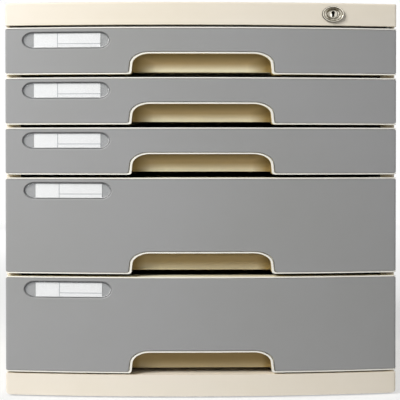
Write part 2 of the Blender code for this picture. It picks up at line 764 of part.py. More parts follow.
def side_panel(side, with_channel):
    """A side panel with its runners, the ridge for the cover and the bosses for the screws."""
    panel = prism([jamb_plan(side, with_channel)], PANEL_BOTTOM, PANEL_TOP, "Z")
    for front_bottom in front_bottoms():
        section = runner_section(side, front_bottom)
        join(panel, prism([section], RUNNER_FRONT_Y, PANEL_REAR_Y - RUNNER_REAR_GAP, "Y"))
        join(panel, runner_ear(side, front_bottom))
    join(panel, cover_ridge(side))
    frames = back_screw_frames(side) + base_screw_frames(side)
    for frame in frames:
        join(panel, cylinder(BOSS_RADIUS, SEAT_GAP, BOSS_LENGTH, SCREW_STEPS, frame))
    for frame in frames:
        cut(panel, cylinder(SCREW_RADIUS + HOLE_CLEARANCE, -OVERRUN, SCREW_LENGTH, SCREW_STEPS, frame))
    return panel


def cover_ridge(side):
    """The stepped ridge on top of a side panel that the cover's skirt drops over."""
    root = INNER_X + JOIN_DEPTH
    outer = INNER_X - SEAT_GAP
    inner = outer - RIDGE_THICKNESS
    low = PANEL_TOP - RIDGE_DEPTH
    top = PANEL_TOP + RIDGE_RISE
    shoulder = PANEL_TOP - SEAT_GAP
    outline = [(root, low), (inner, low + RIDGE_THICKNESS), (inner, top), (outer, top)]
    outline += [(outer, shoulder), (root, shoulder)]
    section = [(side * x, z) for x, z in outline]
    return prism([section], RIDGE_FRONT_INSET - HALF_DEPTH, HALF_DEPTH - RIDGE_REAR_INSET, "Y")


def screw(frame, seat, radius, head_radius, head_height, length):
    """A slotted screw along local +Z, the underside of its head at the height seat."""
    tip = length - SEAT_GAP
    back = seat - head_height
    profile = [(0, tip), (radius, tip), (radius, seat), (head_radius, seat), (head_radius, back), (0, back)]
    made = turned(profile, SCREW_STEPS, frame)
    half = SCREW_SLOT_WIDTH / 2
    far = (half, head_radius + OVERRUN, back + SCREW_SLOT_DEPTH)
    return cut(made, box((-half, -head_radius - OVERRUN, back - OVERRUN), far, frame))


def back_panel():
    """A flat panel, counterbored for flush screw heads, between the base and the cover."""
    outline = rounded([
        (-HALF_WIDTH, BACK_INNER_Y, 0),
        (HALF_WIDTH, BACK_INNER_Y, 0),
        (HALF_WIDTH, HALF_DEPTH, BACK_EDGE_RADIUS),
        (-HALF_WIDTH, HALF_DEPTH, BACK_EDGE_RADIUS),
    ])
    panel = prism([outline], PANEL_BOTTOM, PANEL_TOP, "Z")
    recess_x, recess_y = HALF_WIDTH - BACK_BORDER, HALF_DEPTH - BACK_RECESS_DEPTH
    low, high = PANEL_BOTTOM + BACK_BORDER, PANEL_TOP - BACK_BORDER
    field = rectangle(-recess_x, low, recess_x, high)
    corners = [(x, z, REAR_CORNER_RADIUS) for x, z in field]
    cut(panel, prism([rounded(corners)], recess_y, HALF_DEPTH + OVERRUN, "Y"))
    for frame in back_screw_frames(-1) + back_screw_frames(1):
        seat = BACK_HEAD_SEAT + SEAT_GAP
        cut(panel, cylinder(SCREW_RADIUS + HOLE_CLEARANCE, -OVERRUN, OVERRUN, SCREW_STEPS, frame))
        cut(panel, cylinder(SCREW_HEAD_RADIUS + HOLE_CLEARANCE, -OVERRUN, seat, SCREW_STEPS, frame))
    return panel


def foot_places():
    """The centres of the four feet, with a name for each."""
    x = HALF_WIDTH - FOOT_INSET_X
    front, rear = FOOT_INSET_FRONT - HALF_DEPTH, HALF_DEPTH - FOOT_INSET_REAR
    return {
        "front_left_foot": (-x, front, 0),
        "front_right_foot": (x, front, 0),
        "rear_left_foot": (-x, rear, 0),
        "rear_right_foot": (x, rear, 0),
    }


def base():
    """The plinth: a bowed tray upside down, with a pad over each foot."""
    outline = bowed_plan(0, 0, HALF_DEPTH, BOW_CORNER_RADIUS, REAR_CORNER_RADIUS)
    shell = prism([outline], FOOT_SHOW, BASE_TOP, "Z")
    low, high, corner = FOOT_SHOW, BASE_TOP, BASE_CORNER_RADIUS
    ends = [(-HALF_WIDTH, low, corner), (HALF_WIDTH, low, corner)]
    ends += [(HALF_WIDTH, high, FRONT_CORNER_RADIUS), (-HALF_WIDTH, high, FRONT_CORNER_RADIUS)]
    meet(shell, prism([rounded(ends)], -HALF_DEPTH - OVERRUN, HALF_DEPTH + OVERRUN, "Y"))
    hollow = bowed_plan(WALL, WALL, BACK_INNER_Y, 0, REAR_CORNER_RADIUS)
    cut(shell, prism([hollow], FOOT_SHOW - OVERRUN, BASE_TOP - WALL, "Z"))
    pad_bottom = FOOT_HEIGHT + SEAT_GAP
    stem_hole_top = FOOT_HEIGHT + FOOT_STEM_LENGTH + SEAT_GAP
    for place in foot_places().values():
        frame = Matrix.Translation(place)
        join(shell, cylinder(FOOT_RADIUS + PAD_MARGIN, pad_bottom, BASE_TOP - WALL / 2, ROUND_STEPS, frame))
        cut(shell, cylinder(FOOT_STEM_RADIUS + SEAT_GAP, -OVERRUN, stem_hole_top, ROUND_STEPS, frame))
    for frame in base_screw_frames(-1) + base_screw_frames(1):
        cut(shell, cylinder(SCREW_RADIUS + HOLE_CLEARANCE, -OVERRUN, OVERRUN, SCREW_STEPS, frame))
    return shell


def foot(place):
    """A rubber foot with a stem that pushes into its pad."""
    top = FOOT_HEIGHT + FOOT_STEM_LENGTH
    profile = [(0, top), (FOOT_STEM_RADIUS, top), (FOOT_STEM_RADIUS, FOOT_HEIGHT), (FOOT_RADIUS, FOOT_HEIGHT)]
    profile += [(FOOT_RADIUS, FOOT_CHAMFER), (FOOT_RADIUS - FOOT_CHAMFER, 0), (0, 0)]
    return turned(profile, ROUND_STEPS, Matrix.Translation(place))


def top_cover(lock_frame):
    """The cover: a bowed block with rounded upper edges, hollowed from below, and the hole for the lock."""
    outline = bowed_plan(0, 0, HALF_DEPTH, BOW_CORNER_RADIUS, REAR_CORNER_RADIUS)
    shell = prism([outline], COVER_BOTTOM, COVER_TOP, "Z")
    round_upper_rim(shell, COVER_EDGE_RADIUS)
    hollow = bowed_plan(WALL, WALL, BACK_INNER_Y, 0, REAR_CORNER_RADIUS - WALL / 2)
    cut(shell, prism([hollow], COVER_BOTTOM - OVERRUN, COVER_TOP - WALL, "Z"))
    return cut(shell, cylinder(BARREL_RADIUS + HOLE_CLEARANCE, -OVERRUN, OVERRUN, ROUND_STEPS, lock_frame))


def lock_bezel():
    """The oval plate on the fascia, dished round the plug. Local +Z points out of the cabinet."""
    face = SEAT_GAP + BEZEL_THICKNESS
    plate = prism([ellipse(BEZEL_WIDTH, BEZEL_HEIGHT, OVAL_STEPS)], SEAT_GAP, face, "Z")
    round_upper_rim(plate, BEZEL_EDGE)
    dish = ellipse(DISH_WIDTH, DISH_HEIGHT, OVAL_STEPS)
    cut(plate, prism([dish], face - DISH_DEPTH, face + OVERRUN, "Z"))
    return cut(plate, cylinder(BARREL_BORE, -OVERRUN, OVERRUN))


def lock_barrel():
    """The tube that the plug turns in, from the bezel's back to behind the fascia."""
    tube = cylinder(BARREL_RADIUS, -BARREL_LENGTH, 0)
    return cut(tube, cylinder(BARREL_BORE, -BARREL_LENGTH - OVERRUN, OVERRUN))


def lock_nut():
    """The hexagon nut that clamps the barrel behind the fascia, with a flat on top."""
    corner = NUT_FLATS / 2 / math.cos(math.pi / 6)
    hexagon = [(corner * math.cos(i * math.pi / 3), corner * math.sin(i * math.pi / 3)) for i in range(6)]
    front = -WALL - SEAT_GAP
    nut = prism([hexagon], front - NUT_THICKNESS, front, "Z")
    return cut(nut, cylinder(BARREL_RADIUS + HOLE_CLEARANCE, front - NUT_THICKNESS - OVERRUN, OVERRUN))


def lock_plug():
    """The turning plug: keyway in front, and a hole behind for the crank's screw."""
    front = SEAT_GAP + BEZEL_THICKNESS - DISH_DEPTH
    plug = cylinder(PLUG_RADIUS, -BARREL_LENGTH, front)
    half, tall = KEYWAY_WIDTH / 2, KEYWAY_HEIGHT / 2
    cut(plug, box((-half, -tall, front - KEYWAY_DEPTH), (half, tall, front + OVERRUN)))
    hole_end = CRANK_SCREW_LENGTH + SEAT_GAP - BARREL_LENGTH
    hole = cylinder(CRANK_SCREW_RADIUS + HOLE_CLEARANCE, -BARREL_LENGTH - OVERRUN, hole_end, SCREW_STEPS)
    return cut(plug, hole)


def lock_crank():
    """The disc on the plug's rear end, with the pin that works the arm."""
    disc = cylinder(CRANK_RADIUS, -CRANK_REAR, -CRANK_FRONT)
    throw = [CRANK_THROW * math.cos(CRANK_REST_ANGLE), CRANK_THROW * math.sin(CRANK_REST_ANGLE), 0]
    low, high = -CRANK_REAR - CRANK_PIN_LENGTH, -CRANK_REAR + JOIN_DEPTH
    join(disc, cylinder(CRANK_PIN_RADIUS, low, high, SCREW_STEPS, Matrix.Translation(throw)))
    hole = cylinder(CRANK_SCREW_RADIUS + HOLE_CLEARANCE, -CRANK_REAR - OVERRUN, OVERRUN, SCREW_STEPS)
    return cut(disc, hole)


def crank_screw():
    """The small screw that holds the crank on the plug."""
    frame = Matrix.Translation((0, 0, -CRANK_REAR))
    length = CRANK_THICKNESS + SEAT_GAP + CRANK_SCREW_LENGTH
    sizes = (CRANK_SCREW_RADIUS, CRANK_SCREW_HEAD_RADIUS, CRANK_SCREW_HEAD_HEIGHT)
    return screw(frame, -SEAT_GAP, *sizes, length)


def pin_x(across):
    """World x of the crank's pin in the arm's middle plane, when the pin stands across from the axis."""
    depth = ARM_STACK_DEPTH - across * math.tan(LOCK_ANGLE)
    return LOCK_X + across * math.cos(LOCK_ANGLE) - depth * math.sin(LOCK_ANGLE)


def lock_bar_arm():
    """The plate that the crank's pin lifts, bent back at its end to lie on the bar."""
    rest_across = CRANK_THROW * math.cos(CRANK_REST_ANGLE)
    middle = LOCK_Z + CRANK_THROW * math.sin(CRANK_REST_ANGLE)
    low, high = middle - ARM_HALF_HEIGHT, middle + ARM_HALF_HEIGHT
    slot_half = CRANK_PIN_RADIUS + SEAT_GAP
    slot_left = pin_x(-CRANK_THROW) - CRANK_PIN_RADIUS - SLOT_SIDE_CLEARANCE
    slot_right = pin_x(rest_across) + CRANK_PIN_RADIUS + SLOT_SIDE_CLEARANCE
    front = ARM_MIDDLE_Y - ARM_THICKNESS / 2
    rear = front + ARM_THICKNESS
    tab_rear = rear + ARM_TAB_LENGTH
    left, right = slot_left - ARM_MARGIN, BAR_INNER_X - SEAT_GAP
    plan = [(left - OVERRUN, front), (right, front), (right, tab_rear), (right - ARM_THICKNESS, tab_rear)]
    plan += [(right - ARM_THICKNESS, rear), (left - OVERRUN, rear)]
    bend = prism([plan], low - OVERRUN, high + OVERRUN, "Z")
    edge = rectangle(left, low, right + OVERRUN, high)
    slot = rectangle(slot_left, middle - slot_half, slot_right, middle + slot_half)
    outline = rounded([(x, z, ARM_CORNER_RADIUS) for x, z in edge])
    opening = rounded([(x, z, CRANK_PIN_RADIUS) for x, z in slot])
    return meet(prism([outline, opening], front - OVERRUN, tab_rear + OVERRUN, "Y"), bend)


def lock_bar():
    """The bar that slides in the channel behind the right jamb."""
    low = min(front_bottoms()) + TRAY_BOTTOM + HOOK_RISE - BAR_TOE
    high = LOCK_Z + CRANK_THROW * math.sin(CRANK_REST_ANGLE) + ARM_HALF_HEIGHT
    edge = rectangle(BAR_FRONT_Y, low, BAR_REAR_Y, high)
    outline = rounded([(y, z, BAR_CORNER_RADIUS) for y, z in edge], SMALL_CORNER_STEPS)
    return prism([outline], BAR_INNER_X, BAR_OUTER_X, "X")


def lock_hook(front_bottom):
    """A hook on the bar, just below its tray's catch at rest."""
    inner, outer = TRAY_HALF_WIDTH + HOOK_TRAY_GAP, BAR_INNER_X - SEAT_GAP
    low = front_bottom + TRAY_BOTTOM + HOOK_RISE
    high = low + HOOK_HEIGHT
    outline = [(inner, low), (outer, low), (outer, high)]
    outline += [(inner + HOOK_CHAMFER, high), (inner, high - HOOK_CHAMFER)]
    return prism([outline], HOOK_FRONT_Y, HOOK_REAR_Y, "Y")


def build_drawers(looks):
    """The drawers, from the top one down. Those of one height share their meshes."""
    makers = {
        "tray": (lambda height, shares, shift: tray(height, shares), looks["cream"]),
        "front": (lambda height, shares, shift: front_shell(height, shares), looks["cream"]),
        "face": (lambda height, shares, shift: face_panel(height, shift), looks["grey"]),
        "label_lens": (lambda height, shares, shift: label_lens(height, shift), looks["clear"]),
        "label_card": (lambda height, shares, shift: label_card(height, shift), looks["card"]),
        "catch": (lambda height, shares, shift: catch(), looks["cream"]),
    }
    originals = {}
    for number, (height, bottom) in enumerate(zip(DRAWER_HEIGHTS, front_bottoms()), start=1):
        deep = number > SHALLOW_DRAWER_COUNT
        shares = DEEP_TONGUE_SHARES if deep else SHALLOW_TONGUE_SHARES
        shift = DEEP_LABEL_SHIFT if deep else 0
        axis = axis_empty(f"drawer_{number}_slide", Matrix.Translation((0, 0, bottom)))
        for kind, (maker, look) in makers.items():
            name = f"drawer_{number}_{kind}"
            if (deep, kind) in originals:
                copy_part(originals[deep, kind], name, axis)
            else:
                originals[deep, kind] = finish(maker(height, shares, shift), name, look, axis)


def build_lock(looks, lock_frame):
    """The lock's fixed and turning pieces, and the bar with its arm and hooks."""
    fixed = axis_empty("lock_seat", lock_frame)
    finish(lock_bezel(), "lock_bezel", looks["nickel"], fixed)
    finish(lock_barrel(), "lock_barrel", looks["nickel"], fixed)
    finish(lock_nut(), "lock_nut", looks["nickel"], fixed)
    turning = axis_empty("lock_turn", lock_frame)
    finish(lock_plug(), "lock_plug", looks["nickel"], turning)
    finish(lock_crank(), "lock_crank", looks["steel"], turning)
    finish(crank_screw(), "crank_screw", looks["steel"], turning)
    finish(lock_bar(), "lock_bar", looks["steel"])
    finish(lock_bar_arm(), "lock_bar_arm", looks["steel"])
    for number, bottom in enumerate(front_bottoms(), start=1):
        finish(lock_hook(bottom), f"lock_hook_{number}", looks["cream"])


def build_cabinet(looks, lock_frame):
    """The casing, its feet and its screws."""
    finish(top_cover(lock_frame), "top_cover", looks["cream"])
    finish(side_panel(-1, False), "left_side_panel", looks["cream"])
    finish(side_panel(1, True), "right_side_panel", looks["cream"])
    finish(back_panel(), "back_panel", looks["cream"])
    finish(base(), "base", looks["cream"])
    for name, place in foot_places().items():
        finish(foot(place), name, looks["rubber"])
    sizes = (SCREW_RADIUS, SCREW_HEAD_RADIUS, SCREW_HEAD_HEIGHT, SCREW_LENGTH)
    for number, frame in enumerate(back_screw_frames(-1) + back_screw_frames(1), start=1):
        finish(screw(frame, BACK_HEAD_SEAT, *sizes), f"back_screw_{number}", looks["steel"])
    for number, frame in enumerate(base_screw_frames(-1) + base_screw_frames(1), start=1):
        finish(screw(frame, BASE_HEAD_SEAT, *sizes), f"base_screw_{number}", looks["steel"])


def lock_place():
    """The frame of the lock: x along the fascia, y up, z out of it, at the fascia's surface."""
    cosine, sine = math.cos(LOCK_ANGLE), math.sin(LOCK_ANGLE)
    rows = ((cosine, 0, sine), (sine, 0, -cosine), (0, 1, 0))
    return Matrix.Translation((LOCK_X, LOCK_FACE_Y, LOCK_Z)) @ Matrix(rows).to_4x4()


LOCK_FACE_Y = bow_y(LOCK_X, 0)
ARM_MIDDLE_Y = LOCK_FACE_Y + ARM_STACK_DEPTH * math.cos(LOCK_ANGLE)

clear_scene()
parts = collection_named("desktop_file_drawer")
cutters = collection_named("cutters")
LOOKS = {
    "cream": plastic("cream_plastic", (0.79, 0.725, 0.615), 0.42),
    "grey": plastic("grey_plastic", (0.32, 0.32, 0.318), 0.5),
    "clear": plastic("clear_plastic", (0.9, 0.92, 0.92), 0.08, alpha=0.3),
    "card": plastic("white_card", (0.86, 0.86, 0.85), 0.9),
    "nickel": plastic("polished_nickel", (0.72, 0.7, 0.66), 0.18, metallic=1.0),
    "steel": plastic("zinc_plated_steel", (0.6, 0.6, 0.59), 0.35, metallic=1.0),
    "rubber": plastic("black_rubber", (0.03, 0.03, 0.03), 0.85),
}
build_cabinet(LOOKS, lock_place())
build_lock(LOOKS, lock_place())
build_drawers(LOOKS)
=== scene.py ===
# %% [markdown]
# # A desktop file drawer
# A free-standing cabinet of cream plastic holds five drawers for A4 sheets: three shallow ones above two
# deep ones. Every front is bowed a little and carries a matt grey panel inside a cream rim, a label under
# a clear lens, and a notch for the fingers. An oval lock in the top strip bolts all five drawers at once.
#
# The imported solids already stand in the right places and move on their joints. This lesson dresses them:
# the pieces that show are modelled again with soft moulded edges, and each finish is a small node tree.

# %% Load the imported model
import json
import math
from contextlib import contextmanager

import bmesh
import bpy
from mathutils import Matrix, Vector


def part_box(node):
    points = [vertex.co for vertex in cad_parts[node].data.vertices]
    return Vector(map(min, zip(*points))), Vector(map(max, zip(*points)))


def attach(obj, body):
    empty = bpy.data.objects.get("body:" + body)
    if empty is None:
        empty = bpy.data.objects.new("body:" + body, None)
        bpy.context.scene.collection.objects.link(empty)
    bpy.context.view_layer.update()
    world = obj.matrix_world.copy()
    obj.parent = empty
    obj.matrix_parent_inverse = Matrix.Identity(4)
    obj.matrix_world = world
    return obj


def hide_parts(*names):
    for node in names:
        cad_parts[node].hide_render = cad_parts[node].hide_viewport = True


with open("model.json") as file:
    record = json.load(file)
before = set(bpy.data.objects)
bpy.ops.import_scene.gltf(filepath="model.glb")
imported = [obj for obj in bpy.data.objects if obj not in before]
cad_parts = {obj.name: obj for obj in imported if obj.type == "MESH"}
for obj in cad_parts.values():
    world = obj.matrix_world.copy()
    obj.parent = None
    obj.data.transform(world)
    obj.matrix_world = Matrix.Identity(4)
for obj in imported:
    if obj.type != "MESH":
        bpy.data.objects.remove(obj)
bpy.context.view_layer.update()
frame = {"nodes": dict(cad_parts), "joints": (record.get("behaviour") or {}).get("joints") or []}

# %% [markdown]
# ## The camera
# The photograph was taken from one metre, with the lens a little above the cabinet's middle and a hand's
# breadth left of it: the ledges of the lower fronts show, those of the upper ones don't, and the bowed
# edges curve down more the lower they lie. The uprights stay parallel, so the camera is all but level.
# What is left over of the cabinet's height is brought into the picture by a shift of a thirteenth of its
# width.

# %% Place the camera
PICTURE_WIDTH = 400
FOCAL_PIXELS = 1318
SHIFT_UP = -0.075
CAMERA_PLACE = (-0.0255, -1.1705, 0.188)
TILT_DOWN = math.radians(0.85)
TURN_RIGHT = math.radians(1.38)

lens = bpy.data.cameras.new("camera")
lens.sensor_width = 36.0
lens.lens = lens.sensor_width * FOCAL_PIXELS / PICTURE_WIDTH
lens.shift_y = SHIFT_UP
camera = bpy.data.objects.new("camera", lens)
camera.location = CAMERA_PLACE
camera.rotation_euler = (math.radians(90) - TILT_DOWN, 0.0, -TURN_RIGHT)
bpy.context.scene.collection.objects.link(camera)
bpy.context.scene.camera = camera
print("lens", round(lens.lens, 1), "mm, shift", lens.shift_y)

# %% [markdown]
# ## Sizes that rule the shape
# Seen from above, the whole front of the cabinet is one shallow arc, 13 mm deep over 300 mm. The arc's
# radius follows from those two, and both the shapes and the finishes need it.

# %% The cabinet and its bow
HALF_WIDTH = 0.150
HALF_DEPTH = 0.1725
BOW_DEPTH = 0.013
BOW_RADIUS = (HALF_WIDTH**2 + BOW_DEPTH**2) / (2 * BOW_DEPTH)
print("bow radius in mm:", round(BOW_RADIUS * 1000, 1))

# %% [markdown]
# ## Sums on sockets
# A procedural finish is a formula: noise times strength plus a base value. Drawn as nodes it is hard to
# read, so a small class wraps a socket, and Python's own operators add the Math nodes. Every other node
# comes from one method, which takes the node's type, its settings, and the values or links of its
# sockets. Three short methods stand for what is needed most often: a vector taken apart, an attribute
# read, and two colours mixed. The same two classes serve the shaders and the Geometry Nodes trees.

# %% A wire and a graph
class Wire:
    """An output socket that can be used in sums."""

    def __init__(self, graph, socket):
        self.graph = graph
        self.socket = socket

    def of(self, name):
        """Another output of the same node."""
        return Wire(self.graph, self.socket.node.outputs[name])

    def _math(self, operation, first, second=0.0):
        return self.graph.node("ShaderNodeMath", {"operation": operation}, {0: first, 1: second})

    def __add__(self, other):
        return self._math("ADD", self, other)

    def __sub__(self, other):
        return self._math("SUBTRACT", self, other)

    def __mul__(self, other):
        return self._math("MULTIPLY", self, other)

    def __truediv__(self, other):
        return self._math("DIVIDE", self, other)

    def __radd__(self, other):
        return self._math("ADD", other, self)

    def __rsub__(self, other):
        return self._math("SUBTRACT", other, self)

    def __rmul__(self, other):
        return self._math("MULTIPLY", other, self)

    def __rtruediv__(self, other):
        return self._math("DIVIDE", other, self)

    def __abs__(self):
        return self._math("ABSOLUTE", self)

    def __gt__(self, other):
        return self._math("GREATER_THAN", self, other)

    def __lt__(self, other):
        return self._math("LESS_THAN", self, other)

    def root(self):
        return self._math("SQRT", self)

    def high(self, other):
        return self._math("MAXIMUM", self, other)

    def low(self, other):
        return self._math("MINIMUM", self, other)

    def limited(self):
        return self.high(0.0).low(1.0)

    def between(self, start, end):
        """0 at the start, 1 at the end, and further on past both."""
        return (self - start) / (end - start)


class Graph:
    """A node tree, with one method that adds a node and three short ones for the commonest."""

    def __init__(self, tree):
        self.tree = tree

    def node(self, kind, settings=None, sockets=None, output=0):
        made = self.tree.nodes.new(kind)
        for name, value in (settings or {}).items():
            setattr(made, name, value)
        for name, value in (sockets or {}).items():
            if isinstance(value, Wire):
                self.tree.links.new(value.socket, made.inputs[name])
            else:
                made.inputs[name].default_value = value
        return Wire(self, made.outputs[output]) if len(made.outputs) else made

    def axes(self, vector):
        """A vector taken apart: the wire itself is x, and its Y and Z outputs are the others."""
        return self.node("ShaderNodeSeparateXYZ", None, {0: vector})

    def attribute(self, name):
        return self.node("ShaderNodeAttribute", {"attribute_name": name}, output="Fac")

    def mixed(self, factor, first, second):
        """One colour blended into another. A colour mix has its sockets behind those for numbers."""
        return self.node("ShaderNodeMix", {"data_type": "RGBA"}, {0: factor, 6: first, 7: second}, output=2)


print("wires ready")

# %% [markdown]
# ## Finishes
# All colours are written as they look on a screen and turned into linear light once, so that a plain
# level of light gives them back. `new_material` makes a material with a Principled shader and hands over
# its graph. What changes over a surface feeds only the colour, the roughness and a bump.

# %% Colours and an empty finish
def linear(red, green, blue):
    """A screen colour of 0 to 255 as linear light."""
    parts = [v / 255 for v in (red, green, blue)]
    return [v / 12.92 if v <= 0.04045 else ((v + 0.055) / 1.055) ** 2.4 for v in parts] + [1.0]


def new_material(name):
    material = bpy.data.materials.new(name)
    material.use_nodes = True
    graph = Graph(material.node_tree)
    shader = next(n for n in material.node_tree.nodes if n.type == "BSDF_PRINCIPLED")
    return material, graph, shader


def feed(graph, shader, **sockets):
    """Links a Principled shader's sockets, or sets them where the value is the same all over."""
    for name, value in sockets.items():
        socket = shader.inputs[name.replace("_", " ")]
        if isinstance(value, Wire):
            graph.tree.links.new(value.socket, socket)
        else:
            socket.default_value = value


def here(graph):
    """Places on the object, in metres."""
    return graph.node("ShaderNodeTexCoord", output="Object")


def noise(graph, vector, scale, detail, roughness=0.5):
    sockets = {"Vector": vector, "Scale": scale, "Detail": detail, "Roughness": roughness}
    return graph.node("ShaderNodeTexNoise", None, sockets)


def bumped(graph, height, distance, strength):
    """A bump of the surface; the distance is how deep it is, in metres."""
    return graph.node("ShaderNodeBump", None, {"Height": height, "Distance": distance, "Strength": strength})


print("a screen's mid grey as linear light:", round(linear(128, 128, 128)[0], 3))

# %% [markdown]
# ### Moulded plastic
# The cabinet is styrene moulded in steel tools. The cream faces have the fine even grain of a spark-eroded
# tool, which scatters the light and leaves a soft sheen. The grey panels have a coarser and matter one. A
# flat colour would look like paint on a model, so three things change over each surface: a slow drift of
# tone, a polish that differs where hands and cloths have passed, and the grain itself as a bump of a few
# hundredths of a millimetre.
#
# The shade in the notches that the fingers reach into is painted into the colour, so the drawer fronts get
# a plastic of their own. It turns to a yellower painted shade from 2 mm behind the front's surface on, and
# to an olive painted shade in the notch's corners and under its roof. The lower a drawer stands, the more
# of its notch is painted shaded, as in the photograph, and the rim gets a painted highlight, the palest
# tone of all. The five fronts share the finish, so each shell carries an attribute that says how high a
# point lies within its own front. Each pair of lengths at the head of the cell says where one such change
# starts and where it is complete.

# %% Cream and grey plastic
PULL_DARKENS = (0.002, 0.007)
PULL_TOP = 0.018
PULL_LIP = (0.004, 0.009)
ROOF_CORNER = (0.009, 0.0155)
SIDE_CORNER = (0.034, 0.05)
LOWER_DRAWERS = (0.27, -0.0425)
RIM_DEPTH = 0.0026


def behind_front(graph, place):
    """How far a place lies behind the bowed front, in metres."""
    x = graph.axes(place)
    return x.of("Y") + HALF_DEPTH - BOW_RADIUS + (BOW_RADIUS**2 - x * x).root()


def painted_pull_shade(graph, place, polish_and_shade_noise, unshaded, pull_shade_colour, corner, rim):
    """Painted shade in a finger pull, darkest in its corners, and a painted highlight on the rim."""
    up = graph.attribute("height")
    x = graph.axes(place)
    behind = behind_front(graph, place)
    # Painted shade: darker from 2 mm behind the front on, and darker still in the notch's corners.
    shaded = (behind.between(*PULL_DARKENS) + (polish_and_shade_noise - 0.5) * 0.3).limited() * (up < PULL_TOP)
    corners = up.between(*ROOF_CORNER).high(abs(x).between(*SIDE_CORNER))
    corners = corners.high(x.of("Z").between(*LOWER_DRAWERS)).limited()
    tone = graph.mixed(shaded * up.between(*PULL_LIP).limited(), unshaded, pull_shade_colour)
    tone = graph.mixed(shaded * corners, tone, corner)
    # The rim gets a painted highlight.
    return graph.mixed(behind.between(RIM_DEPTH, 0.0).limited(), tone, rim)


def moulded_plastic(name, colour, aged, grain_scale, grain_height, roughness, pull_shade_tones=None):
    material, graph, shader = new_material(name)
    place = here(graph)
    drift = noise(graph, place, 7.0, 3.0)
    flow = noise(graph, place, 60.0, 4.0, 0.6)
    age = ((drift - 0.42) * 2.6 + (flow - 0.5) * 0.5).limited()
    polish_and_shade_noise = noise(graph, place, 22.0, 4.0, 0.65)
    grain = noise(graph, place, grain_scale, 2.0, 0.6)
    pits = noise(graph, place, grain_scale * 0.31, 1.0)
    tone = graph.mixed(age, colour, aged)
    if pull_shade_tones:
        tone = painted_pull_shade(graph, place, polish_and_shade_noise, tone, *pull_shade_tones)
    feed(
        graph, shader,
        Base_Color=tone,
        Roughness=roughness + (polish_and_shade_noise - 0.5) * 0.16 + (grain - 0.5) * 0.06,
        Normal=bumped(graph, grain * 0.7 + pits * 0.3, grain_height, 0.55),
        Specular_IOR_Level=0.3,
        IOR=1.53,
    )
    return material


CREAM = (linear(247, 238, 222), linear(243, 233, 213))
CREAM_PULL = (linear(255, 250, 224), linear(250, 241, 213))
# Painted shade for the notch, darker painted shade for its corners, and a painted highlight for the rim.
PULL_SHADE_TONES = (linear(222, 197, 148), linear(160, 137, 84), linear(255, 252, 242))
GREY = (linear(161, 161, 161), linear(157, 157, 155))
FINE_GRAIN = (1500.0, 0.00003)
COARSE_GRAIN = (1100.0, 0.00004)
cream_plastic = moulded_plastic("cream_plastic", *CREAM, *FINE_GRAIN, 0.52)
# The fronts' plastic carries the painted shade of the notches and the painted highlight of the rims.
cream_pull = moulded_plastic("cream_pull", *CREAM_PULL, *FINE_GRAIN, 0.46, PULL_SHADE_TONES)
grey_plastic = moulded_plastic("grey_plastic", *GREY, *COARSE_GRAIN, 0.55)
print("plastics:", cream_plastic.name, cream_pull.name, grey_plastic.name)

# %% [markdown]
# ### Label card and lens
# The card is plain white card, printed with two thin rules: an upright one that parts off a square for a
# number, and a level one that underlines the space for words. The rules follow the card, not the room, so
# they read the card's own UV map, which runs from 0 to 1 across it. The lens is clear styrene. A
# refracting lens over a card a millimetre behind it would only lose light, so it is made of a nearly
# see-through gloss: a low alpha keeps the reflections, and the card stays bright. At its rounded edge a
# real lens looks dark, because the light is bent away, so the edge gets a painted dark shade. Its lower
# right end gets a painted highlight, for the light that a real lens carries out at the side away from the
# lamp. Two attributes on its faces tell the finish where that is.

# %% Card and lens
UPRIGHT_RULE = (0.357, 0.005)
LEVEL_RULE = (0.27, 0.023)


def printed_card():
    """White card with two rules, each given by its place and half its thickness as shares of the card."""
    material, graph, shader = new_material("white_card")
    across = graph.axes(graph.node("ShaderNodeUVMap"))
    up = across.of("Y")
    place = here(graph)
    fibres = noise(graph, place, 2600.0, 3.0, 0.7)
    cloud = noise(graph, place, 90.0, 2.0)
    upright = abs(across - UPRIGHT_RULE[0]) < UPRIGHT_RULE[1]
    level = (abs(up - LEVEL_RULE[0]) < LEVEL_RULE[1]) * (across > UPRIGHT_RULE[0])
    ink = (upright + level).limited() * (0.75 + fibres * 0.3)
    paper = graph.mixed(cloud, linear(254, 254, 253), linear(250, 250, 249))
    feed(
        graph, shader,
        Base_Color=graph.mixed(ink, paper, linear(160, 163, 168)),
        Roughness=0.72 + fibres * 0.15,
        Normal=bumped(graph, fibres, 0.00002, 0.5),
    )
    return material


def clear_plastic():
    material, graph, shader = new_material("clear_plastic")
    place = here(graph)
    haze = noise(graph, place, 300.0, 4.0, 0.7)
    scratches = noise(graph, place, 900.0, 2.0)
    edge, frost = graph.attribute("edge"), graph.attribute("frost")
    face = graph.mixed(haze, linear(235, 238, 240), linear(225, 229, 232))
    # The edge's colour is a painted dark shade, turning to a painted highlight at the lower right end.
    rim = graph.mixed(frost, linear(104, 107, 111), linear(254, 254, 254))
    feed(
        graph, shader,
        Base_Color=graph.mixed(edge, face, rim),
        Roughness=0.06 + (haze - 0.4).high(0.0) * 0.25 + frost * 0.3,
        Alpha=0.07 + scratches * 0.05 + edge * (0.4 + frost * 0.5),
        IOR=1.57,
    )
    material.surface_render_method = "BLENDED"
    return material


white_card = printed_card()
clear_lens = clear_plastic()
print("label finishes:", white_card.name, clear_lens.name)

# %% [markdown]
# ### Metal and rubber
# The lock's bezel and plug are die cast and nickel plated: bright, faintly warm, and marked by keys. They
# have tarnished where hands don't rub them, so the finish takes the axis from the lock's joint and works
# out how far a point lies from it, as a share of the oval: the dish and its two grooves are dull and
# brown. Painted shade darkens the dish towards its top, a painted dark outline runs along the edge next to
# the plastic, and the depth of the keyway is painted nearly black as shade. The screws, hooks and bar are
# steel with a thin zinc coat, duller, bluish and mottled where the crystals of zinc meet. The feet are
# black rubber with a dusting of grey.

